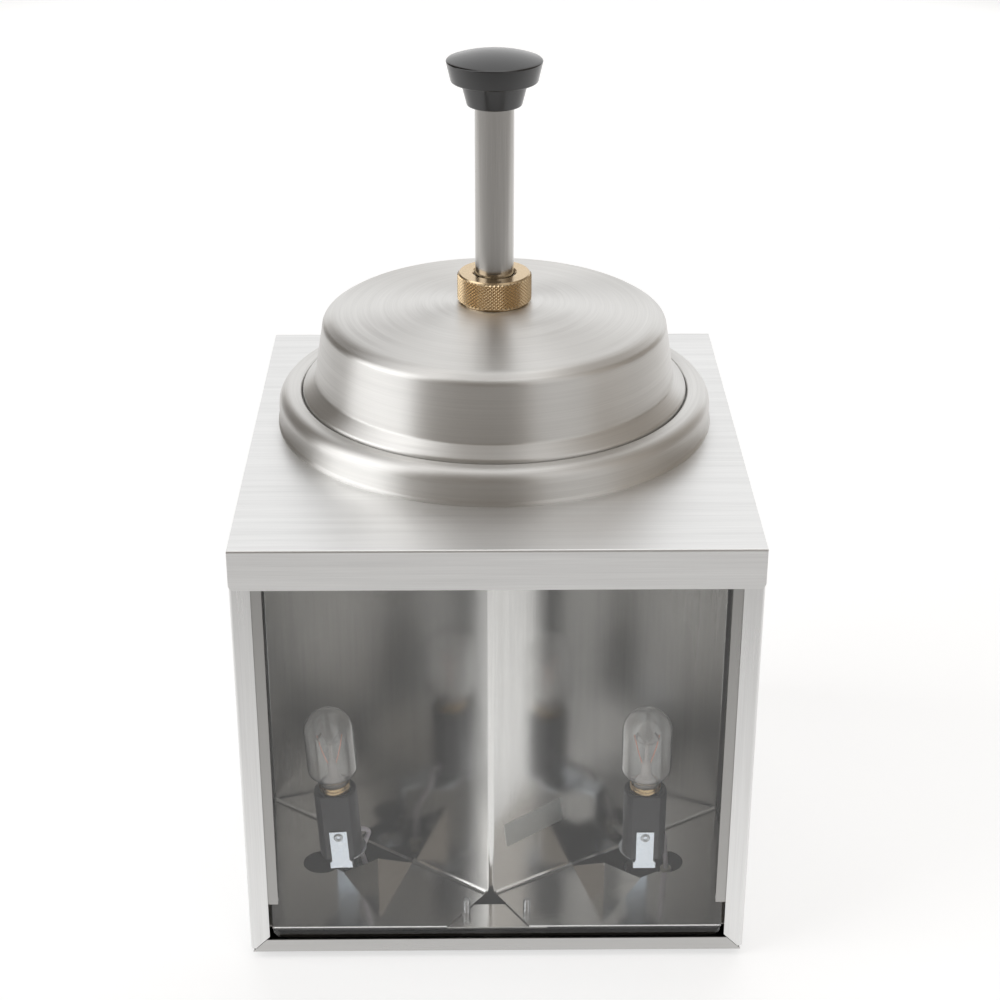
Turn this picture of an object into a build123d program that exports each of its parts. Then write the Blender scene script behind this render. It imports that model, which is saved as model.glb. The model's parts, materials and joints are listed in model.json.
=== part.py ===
"""Nacho cheese dispenser: a heated square cabinet with a lit window and a hand pump on top.

Millimetres, +Z up, origin on the floor under the middle of the whole object.
-Y is the customer's side with the window; +Y is the operator's side with the spout.
"""

import os
from math import cos, radians, sin, sqrt, tan

from build123d import *

os.makedirs("parts", exist_ok=True)

# ---------------------------------------------------------------- driving dimensions
BOX_W = 254.0  # cabinet width
BOX_D = 276.5  # cabinet depth
BOX_H = 233.6  # cabinet height, feet excluded
FOOT_H = 4.0  # rubber feet
SPOUT_REACH = 38.0  # how far the spout stands out behind the cabinet
SHEET = 1.2  # cabinet sheet
SKIN = 0.8  # reflector, channels
SPUN = 0.9  # spun lid, well and vessel
WING_ANGLES = {-1: 36.4, 1: 31.7}  # left and right reflector wing, degrees from the window plane
WELL_FROM_FRONT = 160.85  # pump axis behind the front face
STROKE = 75.0  # pump plunger travel

# ---------------------------------------------------------------- places
FRONT = -(BOX_D + SPOUT_REACH) / 2
BACK = FRONT + BOX_D
HALF_W = BOX_W / 2
WELL_Y = FRONT + WELL_FROM_FRONT
BASE_Z = FOOT_H
TOP_Z = BASE_Z + BOX_H
INNER_W = HALF_W - SHEET
SKIN_FRONT = FRONT + SHEET  # outer face of the side flanges, behind the apron
WELL_PLANE = Plane(origin=(0, WELL_Y, 0), x_dir=(1, 0, 0), z_dir=(0, -1, 0))
WELL_AXIS = Axis((0, WELL_Y, 0), (0, 0, 1))

# cabinet details
APRON_H = 21.0
LIP_H = 7.4
FLANGE_W = 10.0
FLANGE_BOTTOM = BASE_Z + 2.0
MITRE_GAP = 0.4
STRIP_W = 5.0
STRIP_END_Z = BASE_Z + 29.0
PANE_HALF_W = 115.5
PANE_T = 3.0
PANE_FRONT = SKIN_FRONT + SHEET + SKIN + 0.3
PANE_BACK = PANE_FRONT + PANE_T
PANE_BOTTOM = BASE_Z + LIP_H + 0.1
PANE_TOP = BASE_Z + 218.0

# lamp chamber
FLOOR_Z = BASE_Z + 12.0
VERTEX_X = -3.0
VERTEX_Y = FRONT + 33.25
VERTEX_R = 3.0
WING_END_X = INNER_W - 1.5
WING_TOP = TOP_Z - SHEET - 0.6
TAB_START = 51.5
TAB_LENGTH = 24.0
CUTOUT_LENGTH = 38.0
TAB_DEPTH = 30.0
TAB_HEIGHT = 20.0
LEAD_HOLES = {-1: (-94.0, FRONT + 63.25), 1: (91.0, FRONT + 62.25)}
LEAD_HOLE_R = 10.0
FLOOR_SCREW_X = 15.7
FLOOR_SCREW_Y = FRONT + 20.5

# lamps: side, foot position, outward lean in degrees
LAMP_FOOT_Z = BASE_Z + 38.0
LAMPS = {
    "left": {"side": -1, "x": -80.1, "y": FRONT + 31.05, "lean": 3.6},
    "right": {"side": 1, "x": 76.2, "y": FRONT + 29.25, "lean": 0.0},
}
SOCKET_R = 11.0
SOCKET_FLAT = 8.5
SOCKET_BASE_H = 5.5
SOCKET_TOP_H = 43.5
LINER_R = 8.0
LAMP_THREAD_R = 7.5
LAMP_BASE_R = 7.9
RIVET_H = 19.5
GLASS_R = 12.7
LAMP_TOP_H = 90.0
CAP_TOP_H = 47.5
STRAP_T = 1.2
STRAP_W = 11.6
STRAP_NECK_W = 9.2
STRAP_TOP_H = 23.0
STRAP_LEG_Y = FRONT + 61.25
STRAP_FOOT = 13.0
SHELF_R = 12.0
SHELF_BACK = 9.0

# water well, vessel and lid, as radii and heights
COLLAR_R = 114.5
COLLAR_TOP = TOP_Z + 18.0
COLLAR_BORE = 102.5
LEDGE_Z = TOP_Z + 13.6
WELL_BORE = 97.0
WELL_FLOOR = BASE_Z + 50.0
VESSEL_R = 92.9
VESSEL_RIM_R = 101.2
VESSEL_FLOOR = BASE_Z + 58.0
LID_R = 101.7
LID_BOTTOM = LEDGE_Z + 1.3
LID_FOLD = (95.0, BASE_Z + 258.0)
LID_SHOULDER_LOW = (90.1, BASE_Z + 288.2)
LID_SHOULDER_HIGH = (84.0, BASE_Z + 292.0)
LID_FLAT_Z = BASE_Z + 298.0
LID_FLAT_R = 25.0

# pump
NECK_R = 17.0
BARREL_R = 15.5
BARREL_BORE = 13.0
BARREL_LEDGE_Z = BASE_Z + 88.0
BARREL_BOTTOM = BASE_Z + 80.0
CHAMBER_R = 9.0
NECK_TOP = LID_FLAT_Z + 13.0
NUT_R = 19.5
NUT_H = 15.5
STEM_R = 10.0
STEM_TOP = BASE_Z + 410.0
STEM_FLAT_DEPTH = 0.6
PISTON_BOTTOM = BASE_Z + 196.0
PISTON_H = 18.0
KNOB_BOTTOM = BASE_Z + 402.0
KNOB_TOP = BASE_Z + 429.0
RISER_OFFSET = 34.0
TUBE_R = 10.0
TUBE_BORE = 8.0
VALVE_BOTTOM = BASE_Z + 66.0
VALVE_TOP = BASE_Z + 88.0
LOBE_TOP = BASE_Z + 108.0
SPOUT_Z = BASE_Z + 268.0
SPOUT_TIP_Z = BASE_Z + 226.0
RISER_BEND = 30.0
SPOUT_BEND = 22.0
INLET_SEAT = (6.0, BASE_Z + 70.0)
INLET_BALL_R = 7.5
OUTLET_SEAT = (5.0, BASE_Z + 82.0)
OUTLET_BALL_R = 6.5
BALL_LIFT = 3.0
PIN_R = 1.0

# rear controls
SWITCH_X = -74.0
PILOT_X = -40.0
GLAND_X = 78.0
CONTROL_Z = BASE_Z + 34.0
REAR_FACE = BACK - SHEET
REAR_WALL = REAR_FACE - SHEET
ROCKER_TILT = 9.0


def finish(part, label):
    """Name a finished piece and write its file."""
    part.label = label
    export_step(part, f"parts/{label}.step")


def plate(low, high, mode=Mode.ADD):
    """A square-cornered block between two corners, added to the open part or cut from it."""
    size = [b - a for a, b in zip(low, high)]
    middle = [(a + b) / 2 for a, b in zip(low, high)]
    with Locations(tuple(middle)):
        Box(*size, mode=mode)


def spin(outline, plane=WELL_PLANE, axis=WELL_AXIS, mode=Mode.ADD):
    """Revolve a closed outline of (radius, height) points, added to the open part."""
    with BuildSketch(plane) as profile:
        with BuildLine():
            Polyline(*outline, close=True)
        make_face()
    revolve(profile.sketch, axis=axis, mode=mode)


def spin_sheet(outline, radii, thickness, plane=WELL_PLANE, axis=WELL_AXIS):
    """Revolve a sheet wall that lies to the left of an open, rounded outline."""
    with BuildSketch(plane) as profile:
        with BuildLine():
            FilletPolyline(*outline, radius=radii)
            offset(amount=thickness, side=Side.LEFT)
        make_face()
    revolve(profile.sketch, axis=axis)


def drill(radius, top, bottom, spots, mode=Mode.SUBTRACT):
    """Vertical round holes (or pegs) between two heights at plan positions."""
    with BuildSketch(Plane.XY.offset(bottom)) as circles:
        with Locations(*spots):
            Circle(radius)
    extrude(circles.sketch, amount=top - bottom, mode=mode)


def wing_point(side, along, out=0.0):
    """Plan position measured along a reflector wing and out in front of it."""
    angle = radians(WING_ANGLES[side])
    x = VERTEX_X + side * (along * cos(angle) + out * sin(angle))
    y = VERTEX_Y + along * sin(angle) - out * cos(angle)
    return (x, y)


def wing_end(side):
    """Plan position where a reflector wing meets the cabinet's side."""
    angle = radians(WING_ANGLES[side])
    return wing_point(side, (WING_END_X - side * VERTEX_X) / cos(angle))


def lamp_planes(lamp):
    """The lamp's lengthwise profile plane, its axis and its cross-section plane."""
    lean = radians(lamp["lean"]) * lamp["side"]
    foot = (lamp["x"], lamp["y"], LAMP_FOOT_Z)
    across = (cos(lean), 0, -sin(lean))
    upward = (sin(lean), 0, cos(lean))
    profile = Plane(origin=foot, x_dir=across, z_dir=(0, -1, 0))
    section = Plane(origin=foot, x_dir=across, z_dir=upward)
    return profile, Axis(foot, upward), section


# ---------------------------------------------------------------- cabinet
FOOT_SPOTS = [(x, y) for x in (-100.0, 100.0) for y in (FRONT + 27.0, BACK - 27.0)]
FLOOR_SCREW_SPOTS = [(-FLOOR_SCREW_X, FLOOR_SCREW_Y), (FLOOR_SCREW_X, FLOOR_SCREW_Y)]
STRAP_SPOTS = [(lamp["x"], STRAP_LEG_Y + 8.0) for lamp in LAMPS.values()]

with BuildPart() as base_pan:
    plate((-INNER_W + 0.2, SKIN_FRONT + SHEET, BASE_Z), (INNER_W - 0.2, REAR_WALL - 0.2, BASE_Z + SHEET))
    # front lip with mitred ends, and the ledge behind it that carries the pane
    with BuildSketch(Plane(origin=(0, SKIN_FRONT, 0), x_dir=(1, 0, 0), z_dir=(0, -1, 0))):
        with BuildLine():
            lip_low, lip_high = HALF_W - 1.0, HALF_W - 1.0 - LIP_H
            Polyline(
                (-lip_low, BASE_Z),
                (lip_low, BASE_Z),
                (lip_high, BASE_Z + LIP_H),
                (-lip_high, BASE_Z + LIP_H),
                close=True,
            )
        make_face()
    extrude(amount=-SHEET)
    plate(
        (-PANE_HALF_W - 1.0, SKIN_FRONT + SHEET, BASE_Z + LIP_H - SHEET),
        (PANE_HALF_W + 1.0, PANE_BACK + 0.3, BASE_Z + LIP_H),
    )
    for side in (-1, 1):
        inner, outer = sorted((side * (INNER_W - 0.2), side * (INNER_W - 0.2 - SHEET)))
        plate((inner, FRONT + 14, BASE_Z), (outer, BACK - 16, BASE_Z + 12))
    plate((-112, REAR_WALL - 0.2 - SHEET, BASE_Z), (112, REAR_WALL - 0.2, BASE_Z + 12))
    drill(2.2, BASE_Z + SHEET, BASE_Z, FOOT_SPOTS + FLOOR_SCREW_SPOTS + STRAP_SPOTS)
finish(base_pan.part, "base_pan")

VENT_SPOTS = [(x, BASE_Z + z) for z in (176.0, 186.0, 196.0) for x in (-48.0, 0.0, 48.0)]
with BuildPart() as cabinet_wrap:
    wrap_top = TOP_Z - SHEET
    with BuildSketch(Plane.XY.offset(FLANGE_BOTTOM)):
        with BuildLine():
            FilletPolyline(
                (-HALF_W + FLANGE_W, SKIN_FRONT),
                (-HALF_W, SKIN_FRONT),
                (-HALF_W, REAR_FACE),
                (HALF_W, REAR_FACE),
                (HALF_W, SKIN_FRONT),
                (HALF_W - FLANGE_W, SKIN_FRONT),
                radius=1.6,
            )
            offset(amount=SHEET, side=Side.RIGHT)
        make_face()
    extrude(amount=wrap_top - FLANGE_BOTTOM)
    # the lower ends of the front flanges are mitred over the lip
    with BuildSketch(Plane(origin=(0, SKIN_FRONT - 1, 0), x_dir=(1, 0, 0), z_dir=(0, -1, 0))):
        for side in (-1, 1):
            with BuildLine():
                flange_in = HALF_W - FLANGE_W - 1.0
                mitre_z = BASE_Z + HALF_W - 1.0 + MITRE_GAP
                Polyline(
                    (side * flange_in, FLANGE_BOTTOM - 1),
                    (side * (mitre_z - FLANGE_BOTTOM + 1), FLANGE_BOTTOM - 1),
                    (side * flange_in, mitre_z - flange_in),
                    close=True,
                )
            make_face()
    extrude(amount=-(SHEET + 2), mode=Mode.SUBTRACT)
    with BuildSketch(Plane(origin=(0, REAR_FACE + 1, 0), x_dir=(1, 0, 0), z_dir=(0, -1, 0))):
        with Locations((SWITCH_X, CONTROL_Z)):
            Rectangle(13.4, 27.4)
        with Locations((PILOT_X, CONTROL_Z)):
            Circle(5.2)
        with Locations((GLAND_X, CONTROL_Z)):
            Circle(8.2)
        with Locations(*VENT_SPOTS):
            SlotOverall(36, 4)
    extrude(amount=6, both=True, mode=Mode.SUBTRACT)
finish(cabinet_wrap.part, "cabinet_wrap")

with BuildPart() as top_cover:
    plate((-HALF_W, FRONT, TOP_Z - SHEET), (HALF_W, BACK, TOP_Z))
    plate((-HALF_W, FRONT, TOP_Z - APRON_H), (HALF_W, FRONT + SHEET, TOP_Z))
    plate((-HALF_W, BACK - SHEET, TOP_Z - APRON_H), (HALF_W, BACK, TOP_Z))
    apron_corners = [
        edge
        for edge in top_cover.edges().filter_by(Axis.Y)
        if abs(edge.center().Z - (TOP_Z - APRON_H)) < 0.01 and abs(edge.center().X) > HALF_W - 0.01
    ]
    fillet(apron_corners, radius=3.0)
    bend_edges = [
        edge
        for edge in top_cover.edges().filter_by(Axis.X)
        if edge.center().Z > TOP_Z - 0.01 and edge.length > BOX_W - 1
    ]
    fillet(bend_edges, radius=1.1)
    for side in (-1, 1):
        inner, outer = sorted((side * (INNER_W - 0.2), side * (INNER_W - 0.2 - SHEET)))
        plate((inner, SKIN_FRONT + 12, TOP_Z - 13), (outer, REAR_WALL - 12, TOP_Z - SHEET))
    drill(WELL_BORE + SPUN + 1.0, TOP_Z, TOP_Z - SHEET, [(0, WELL_Y)])
finish(top_cover.part, "top_cover")

# window channels: a front strip that stops short, a web, and a wing welded behind the flange
for name, side in (("left", -1), ("right", 1)):
    strip_out = HALF_W - FLANGE_W - 0.1
    strip_in = strip_out - STRIP_W
    strip_y = SKIN_FRONT + SHEET
    rear_y = PANE_BACK + 0.3
    channel_top = TOP_Z - SHEET - 0.4
    with BuildPart() as window_channel:
        with BuildSketch(Plane.XY.offset(STRIP_END_Z)):
            with BuildLine():
                Polyline(
                    (side * strip_in, strip_y),
                    (side * (HALF_W - 3), strip_y),
                    (side * (HALF_W - 3), strip_y + SKIN),
                    (side * strip_out, strip_y + SKIN),
                    (side * strip_out, rear_y + SKIN),
                    (side * strip_in, rear_y + SKIN),
                    (side * strip_in, rear_y),
                    (side * (strip_out - SKIN), rear_y),
                    (side * (strip_out - SKIN), strip_y + SKIN),
                    (side * strip_in, strip_y + SKIN),
                    close=True,
                )
            make_face()
        extrude(amount=channel_top - STRIP_END_Z)
    finish(window_channel.part, f"{name}_window_channel")

with BuildPart() as window_pane:
    plate((-PANE_HALF_W, PANE_FRONT, PANE_BOTTOM), (PANE_HALF_W, PANE_BACK, PANE_TOP))
    fillet(window_pane.edges().filter_by(Axis.Y).group_by(Axis.Z)[0], radius=5.0)
    fillet(window_pane.edges().filter_by(Axis.Y).group_by(Axis.Z)[-1], radius=2.0)
finish(window_pane.part, "window_pane")

# ---------------------------------------------------------------- reflector and chamber floor
FLOOR_FRONT = PANE_BACK + 0.7
RETURN_DEPTH = 12.0
with BuildPart() as reflector:
    with BuildSketch(Plane.XY.offset(FLOOR_Z - SKIN)):
        with BuildLine():
            FilletPolyline(wing_end(1), (VERTEX_X, VERTEX_Y), wing_end(-1), radius=VERTEX_R)
            offset(amount=SKIN, side=Side.RIGHT)
        make_face()
    extrude(amount=WING_TOP - FLOOR_Z + SKIN)
    for side in (-1, 1):
        # return along the side wall
        wing_back = wing_end(side)[1]
        low_x, high_x = sorted((side * (WING_END_X - SKIN), side * WING_END_X))
        plate((low_x, wing_back - 0.2, FLOOR_Z), (high_x, wing_back + RETURN_DEPTH, WING_TOP))
        # floor flange, cut back square to the wing at the vertex, with the cut-out for the lamp
        flange_start = wing_point(side, VERTEX_R)
        flange_slope = tan(radians(WING_ANGLES[side]))
        wedge_x = flange_start[0] + side * (flange_start[1] - FLOOR_FRONT) * flange_slope
        with BuildSketch(Plane.XY.offset(FLOOR_Z - SKIN)):
            with BuildLine():
                Polyline(
                    flange_start,
                    (wedge_x, FLOOR_FRONT),
                    (side * WING_END_X, FLOOR_FRONT),
                    (side * WING_END_X, wing_back),
                    close=True,
                )
            make_face()
            with BuildLine(mode=Mode.PRIVATE) as tab_edge:
                Polyline(
                    wing_point(side, TAB_START, 1.0),
                    wing_point(side, TAB_START, TAB_DEPTH),
                    wing_point(side, TAB_START + CUTOUT_LENGTH, TAB_DEPTH),
                    wing_point(side, TAB_START + CUTOUT_LENGTH, 1.0),
                    close=True,
                )
            make_face(tab_edge.edges(), mode=Mode.SUBTRACT)
            with Locations(LEAD_HOLES[side]):
                Circle(LEAD_HOLE_R, mode=Mode.SUBTRACT)
            with Locations((side * FLOOR_SCREW_X, FLOOR_SCREW_Y)):
                Circle(2.05, mode=Mode.SUBTRACT)
        extrude(amount=SKIN)
        # two triangular gussets folded up at the tab's corner
        corner = wing_point(side, TAB_START, TAB_DEPTH)
        for away in ((TAB_START, 2.0), (TAB_START + TAB_LENGTH, TAB_DEPTH)):
            end = wing_point(side, *away)
            run = Vector(end[0] - corner[0], end[1] - corner[1], 0)
            gusset_plane = Plane(
                origin=(corner[0], corner[1], FLOOR_Z - SKIN),
                x_dir=run.normalized(),
                z_dir=run.normalized().cross(Vector(0, 0, 1)),
            )
            with BuildSketch(gusset_plane):
                with BuildLine():
                    Polyline((0, 0), (run.length, 0), (run.length, SKIN), (0, TAB_HEIGHT), close=True)
                make_face()
            extrude(amount=SKIN / 2, both=True)
finish(reflector.part, "reflector")

with BuildPart() as reflector_screws:
    drill(2.0, FLOOR_Z + 7.0, BASE_Z - 0.1, FLOOR_SCREW_SPOTS, mode=Mode.ADD)
    drill(3.6, BASE_Z, BASE_Z - 2.2, FLOOR_SCREW_SPOTS, mode=Mode.ADD)
finish(reflector_screws.part, "reflector_screws")

TIE_T = 1.0
with BuildPart() as reflector_tie_plate:
    tie_z = FLOOR_Z - SKIN
    plate((-26, FLOOR_FRONT, tie_z - TIE_T), (26, FRONT + 26.25, tie_z))
    drill(2.05, tie_z, tie_z - TIE_T, FLOOR_SCREW_SPOTS)
finish(reflector_tie_plate.part, "reflector_tie_plate")

with BuildPart() as reflector_nuts:
    with BuildSketch(Plane.XY.offset(FLOOR_Z - SKIN - TIE_T - 3.2)):
        with Locations(*FLOOR_SCREW_SPOTS):
            RegularPolygon(3.9, 6)
            Circle(2.0, mode=Mode.SUBTRACT)
    extrude(amount=3.2)
finish(reflector_nuts.part, "reflector_nuts")

# blank label plate on the right-hand wing, set slightly askew
LABEL_ALONG = 26.4
LABEL_Z = BASE_Z + 48.5
LABEL_SKEW = 7.2
label_middle = wing_point(1, LABEL_ALONG)
label_angle = radians(WING_ANGLES[1])
label_plane = Plane(
    origin=(label_middle[0], label_middle[1], LABEL_Z),
    x_dir=(cos(label_angle), sin(label_angle), 0),
    z_dir=(sin(label_angle), -cos(label_angle), 0),
)
with BuildPart() as label_plate:
    with BuildSketch(label_plane):
        Rectangle(35.0, 14.4, rotation=LABEL_SKEW)
    extrude(amount=0.3)
    fillet(label_plate.edges().filter_by(lambda edge: edge.length < 0.31), radius=0.6)
finish(label_plate.part, "label_plate")

# ---------------------------------------------------------------- lamps
for name, lamp in LAMPS.items():
    side = lamp["side"]
    profile, lamp_axis, section = lamp_planes(lamp)

    # black moulded shell: round, flattened front and back, bored for the liner
    with BuildPart() as lamp_socket:
        with BuildSketch(section.offset(SOCKET_BASE_H)):
            Circle(SOCKET_R)
            Rectangle(2 * SOCKET_R, 2 * SOCKET_FLAT, mode=Mode.INTERSECT)
        extrude(amount=SOCKET_TOP_H - SOCKET_BASE_H)
        with BuildSketch(section.offset(SOCKET_TOP_H)):
            Circle(LINER_R)
        extrude(amount=-(SOCKET_TOP_H - RIVET_H - 4.0), mode=Mode.SUBTRACT)
        rivet_seat = section.from_local_coords((0, -SOCKET_FLAT, RIVET_H))
        with BuildSketch(Plane(origin=rivet_seat, x_dir=(1, 0, 0), z_dir=(0, -1, 0))):
            Circle(1.5)
        extrude(amount=-4.0, mode=Mode.SUBTRACT)
    finish(lamp_socket.part, f"lamp_socket_{name}")

    # threaded brass liner pressed into the shell
    liner_bore = LAMP_THREAD_R + 0.06
    with BuildPart() as socket_liner:
        spin(
            [
                (liner_bore, RIVET_H + 5),
                (LINER_R, RIVET_H + 5),
                (LINER_R, SOCKET_TOP_H - 3),
                (liner_bore, SOCKET_TOP_H - 3),
            ],
            profile,
            lamp_axis,
        )
    finish(socket_liner.part, f"socket_liner_{name}")

    # plated strap: foot on the pan, leg through the floor cut-out, round shelf, front plate
    plate_back = lamp["y"] - SOCKET_FLAT
    half = STRAP_W / 2
    neck = STRAP_NECK_W / 2
    pan_z = BASE_Z + SHEET
    with BuildPart() as socket_bracket:
        plate(
            (lamp["x"] - half, STRAP_LEG_Y - STRAP_T, pan_z),
            (lamp["x"] + half, STRAP_LEG_Y + STRAP_FOOT, pan_z + STRAP_T),
        )
        plate(
            (lamp["x"] - half, STRAP_LEG_Y - STRAP_T, pan_z),
            (lamp["x"] + half, STRAP_LEG_Y, LAMP_FOOT_Z + STRAP_T),
        )
        plate(
            (lamp["x"] - half, plate_back - STRAP_T, LAMP_FOOT_Z),
            (lamp["x"] + half, STRAP_LEG_Y, LAMP_FOOT_Z + STRAP_T),
        )
        shelf_spot = (lamp["x"], lamp["y"] + SHELF_BACK)
        drill(SHELF_R, LAMP_FOOT_Z + STRAP_T, LAMP_FOOT_Z, [shelf_spot], mode=Mode.ADD)
        plate_origin = profile.origin - Vector(0, SOCKET_FLAT, 0)
        with BuildSketch(Plane(origin=plate_origin, x_dir=profile.x_dir, z_dir=(0, -1, 0))):
            with BuildLine():
                Polyline(
                    (-half, 0.4),
                    (half, 0.4),
                    (half, 4.4),
                    (neck, 5.2),
                    (neck, STRAP_TOP_H),
                    (-neck, STRAP_TOP_H),
                    (-neck, 5.2),
                    (-half, 4.4),
                    close=True,
                )
            make_face()
            with Locations((0, RIVET_H)):
                Circle(1.5, mode=Mode.SUBTRACT)
        extrude(amount=STRAP_T)
        drill(2.05, pan_z + STRAP_T, pan_z, [(lamp["x"], STRAP_LEG_Y + 8.0)])
    finish(socket_bracket.part, f"socket_bracket_{name}")

    # lamp cap with its centre contact
    contact_h = RIVET_H + 4.1
    with BuildPart() as lamp_base:
        spin(
            [
                (0, contact_h),
                (2.6, contact_h),
                (2.6, contact_h + 1.5),
                (LAMP_THREAD_R, contact_h + 5.0),
                (LAMP_THREAD_R, SOCKET_TOP_H + 0.3),
                (LAMP_BASE_R, SOCKET_TOP_H + 1.0),
                (LAMP_BASE_R, CAP_TOP_H),
                (LAMP_BASE_R - 0.5, CAP_TOP_H),
                (LAMP_BASE_R - 0.5, SOCKET_TOP_H + 1.2),
                (LAMP_THREAD_R - 0.5, SOCKET_TOP_H + 0.5),
                (LAMP_THREAD_R - 0.5, 34.0),
                (0, 34.0),
            ],
            profile,
            lamp_axis,
        )
    finish(lamp_base.part, f"lamp_base_{name}")

    with BuildPart() as lamp_glass:
        spin_sheet(
            [
                (LAMP_BASE_R - 0.9, SOCKET_TOP_H + 1.4),
                (LAMP_BASE_R - 0.9, CAP_TOP_H + 1.0),
                (GLASS_R, CAP_TOP_H + 7.0),
                (GLASS_R, LAMP_TOP_H),
                (0, LAMP_TOP_H),
            ],
            [1.5, 6.0, GLASS_R - 0.9],
            0.6,
            profile,
            lamp_axis,
        )
    finish(lamp_glass.part, f"lamp_glass_{name}")

    with BuildPart() as lamp_filament:
        spin([(0, 44.9), (5.6, 44.9), (5.0, 48.0), (2.6, 52.0), (2.2, 60.0), (0, 60.0)], profile, lamp_axis)
        for lead_x in (-3.2, 3.2):
            with BuildSketch(section.offset(50.0)):
                with Locations((lead_x * 0.62, 0)):
                    Circle(0.35)
            extrude(amount=20.0)
        coil_start = section.from_local_coords((-2.4, 0, 69.6))
        with BuildSketch(Plane(origin=coil_start, x_dir=(0, 1, 0), z_dir=profile.x_dir)):
            Circle(0.5)
        extrude(amount=4.8)
    finish(lamp_filament.part, f"lamp_filament_{name}")

with BuildPart() as socket_rivets:
    for lamp in LAMPS.values():
        profile, lamp_axis, section = lamp_planes(lamp)
        head = section.from_local_coords((0, -SOCKET_FLAT - STRAP_T, RIVET_H))
        rivet_plane = Plane(origin=head, x_dir=(1, 0, 0), z_dir=(0, -1, 0))
        with BuildSketch(rivet_plane):
            Circle(2.3)
        extrude(amount=0.8)
        with BuildSketch(rivet_plane):
            Circle(1.5)
        extrude(amount=-(STRAP_T + 4.0))
finish(socket_rivets.part, "socket_rivets")

with BuildPart() as bracket_screws:
    drill(2.0, BASE_Z + SHEET + STRAP_T, BASE_Z - 0.1, STRAP_SPOTS, mode=Mode.ADD)
    drill(3.4, BASE_Z + SHEET + STRAP_T + 2.2, BASE_Z + SHEET + STRAP_T, STRAP_SPOTS, mode=Mode.ADD)
finish(bracket_screws.part, "bracket_screws")

# lead from the back of each socket down into a splice cap under the chamber floor
LEAD_R = 1.3
SPLICE_TOP = BASE_Z + 8.0
SPLICE_SPOTS = {"left": (-68.5, FRONT + 56.25), "right": (92.0, FRONT + 62.25)}
LEAD_BENDS = {
    "left": [(13.8, 11.0, 7.5), (8.1, 18.7, -12.0)],
    "right": [(12.3, 15.5, 2.0), (14.5, 26.0, -14.0)],
}
for name, lamp in LAMPS.items():
    splice = SPLICE_SPOTS[name]
    exit_x = lamp["x"] + 4.1
    exit_y = lamp["y"] + SOCKET_FLAT
    exit_z = LAMP_FOOT_Z + 9.5
    lead_route = [(exit_x, exit_y, exit_z), (exit_x, exit_y + 4.0, exit_z)]
    for dx, dy, dz in LEAD_BENDS[name]:
        lead_route.append((lamp["x"] + dx, lamp["y"] + SOCKET_FLAT + dy - 4.0, LAMP_FOOT_Z + dz))
    lead_route.append((splice[0], splice[1], FLOOR_Z - 2.0))
    lead_route.append((splice[0], splice[1], SPLICE_TOP - 2.0))
    with BuildPart() as lamp_lead:
        with BuildLine() as lead_path:
            FilletPolyline(*lead_route, radius=[3.0, 5.0, 6.0, 3.0])
        with BuildSketch(Plane(origin=lead_route[0], x_dir=(1, 0, 0), z_dir=(0, 1, 0))):
            Circle(LEAD_R)
        sweep(path=lead_path.wires()[0])
    finish(lamp_lead.part, f"lamp_lead_{name}")

with BuildPart() as splice_caps:
    drill(3.0, SPLICE_TOP, BASE_Z + SHEET, list(SPLICE_SPOTS.values()), mode=Mode.ADD)
    drill(LEAD_R, SPLICE_TOP, SPLICE_TOP - 2.0, list(SPLICE_SPOTS.values()))
finish(splice_caps.part, "splice_caps")

# ---------------------------------------------------------------- water well and heater
with BuildPart() as water_well:
    spin_sheet(
        [
            (COLLAR_R + 0.7, TOP_Z),
            (COLLAR_R + 0.7, TOP_Z + 1.2),
            (COLLAR_R, TOP_Z + 2.4),
            (COLLAR_R, COLLAR_TOP),
            (COLLAR_BORE, COLLAR_TOP - 0.6),
            (COLLAR_BORE, LEDGE_Z),
            (WELL_BORE, LEDGE_Z),
            (WELL_BORE, WELL_FLOOR),
            (0, WELL_FLOOR),
        ],
        [1.2, 1.5, 7.5, 1.2, 0.6, 1.2, 10.0],
        SPUN,
    )
finish(water_well.part, "water_well")

HEATER_TOP = WELL_FLOOR - SPUN
STUD_X = 52.0
with BuildPart() as heater_ring:
    drill(72.0, HEATER_TOP, HEATER_TOP - 7.0, [(0, WELL_Y)], mode=Mode.ADD)
    drill(30.0, HEATER_TOP, HEATER_TOP - 7.0, [(0, WELL_Y)])
    drill(3.2, HEATER_TOP, HEATER_TOP - 7.0, [(-STUD_X, WELL_Y), (STUD_X, WELL_Y)])
    for x in (-8.0, 8.0):
        plate((x - 3.2, WELL_Y + 58, HEATER_TOP - 15), (x + 3.2, WELL_Y + 58.8, HEATER_TOP - 7))
finish(heater_ring.part, "heater_ring")

with BuildPart() as thermostat:
    drill(9.5, HEATER_TOP, HEATER_TOP - 6, [(0, WELL_Y)], mode=Mode.ADD)
    drill(8.0, HEATER_TOP - 6, HEATER_TOP - 12, [(0, WELL_Y)], mode=Mode.ADD)
    for x in (-4.5, 4.5):
        plate((x - 0.4, WELL_Y - 3.2, HEATER_TOP - 19), (x + 0.4, WELL_Y + 3.2, HEATER_TOP - 12))
finish(thermostat.part, "thermostat")

with BuildPart() as heater_clamp:
    clamp_z = HEATER_TOP - 7.0
    plate((-64, WELL_Y - 13, clamp_z - 2), (64, WELL_Y + 13, clamp_z))
    drill(8.6, clamp_z, clamp_z - 2, [(0, WELL_Y)])
    drill(2.7, clamp_z, clamp_z - 2, [(-STUD_X, WELL_Y), (STUD_X, WELL_Y)])
finish(heater_clamp.part, "heater_clamp")

with BuildPart() as heater_studs:
    drill(2.5, HEATER_TOP, HEATER_TOP - 16, [(-STUD_X, WELL_Y), (STUD_X, WELL_Y)], mode=Mode.ADD)
finish(heater_studs.part, "heater_studs")

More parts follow.
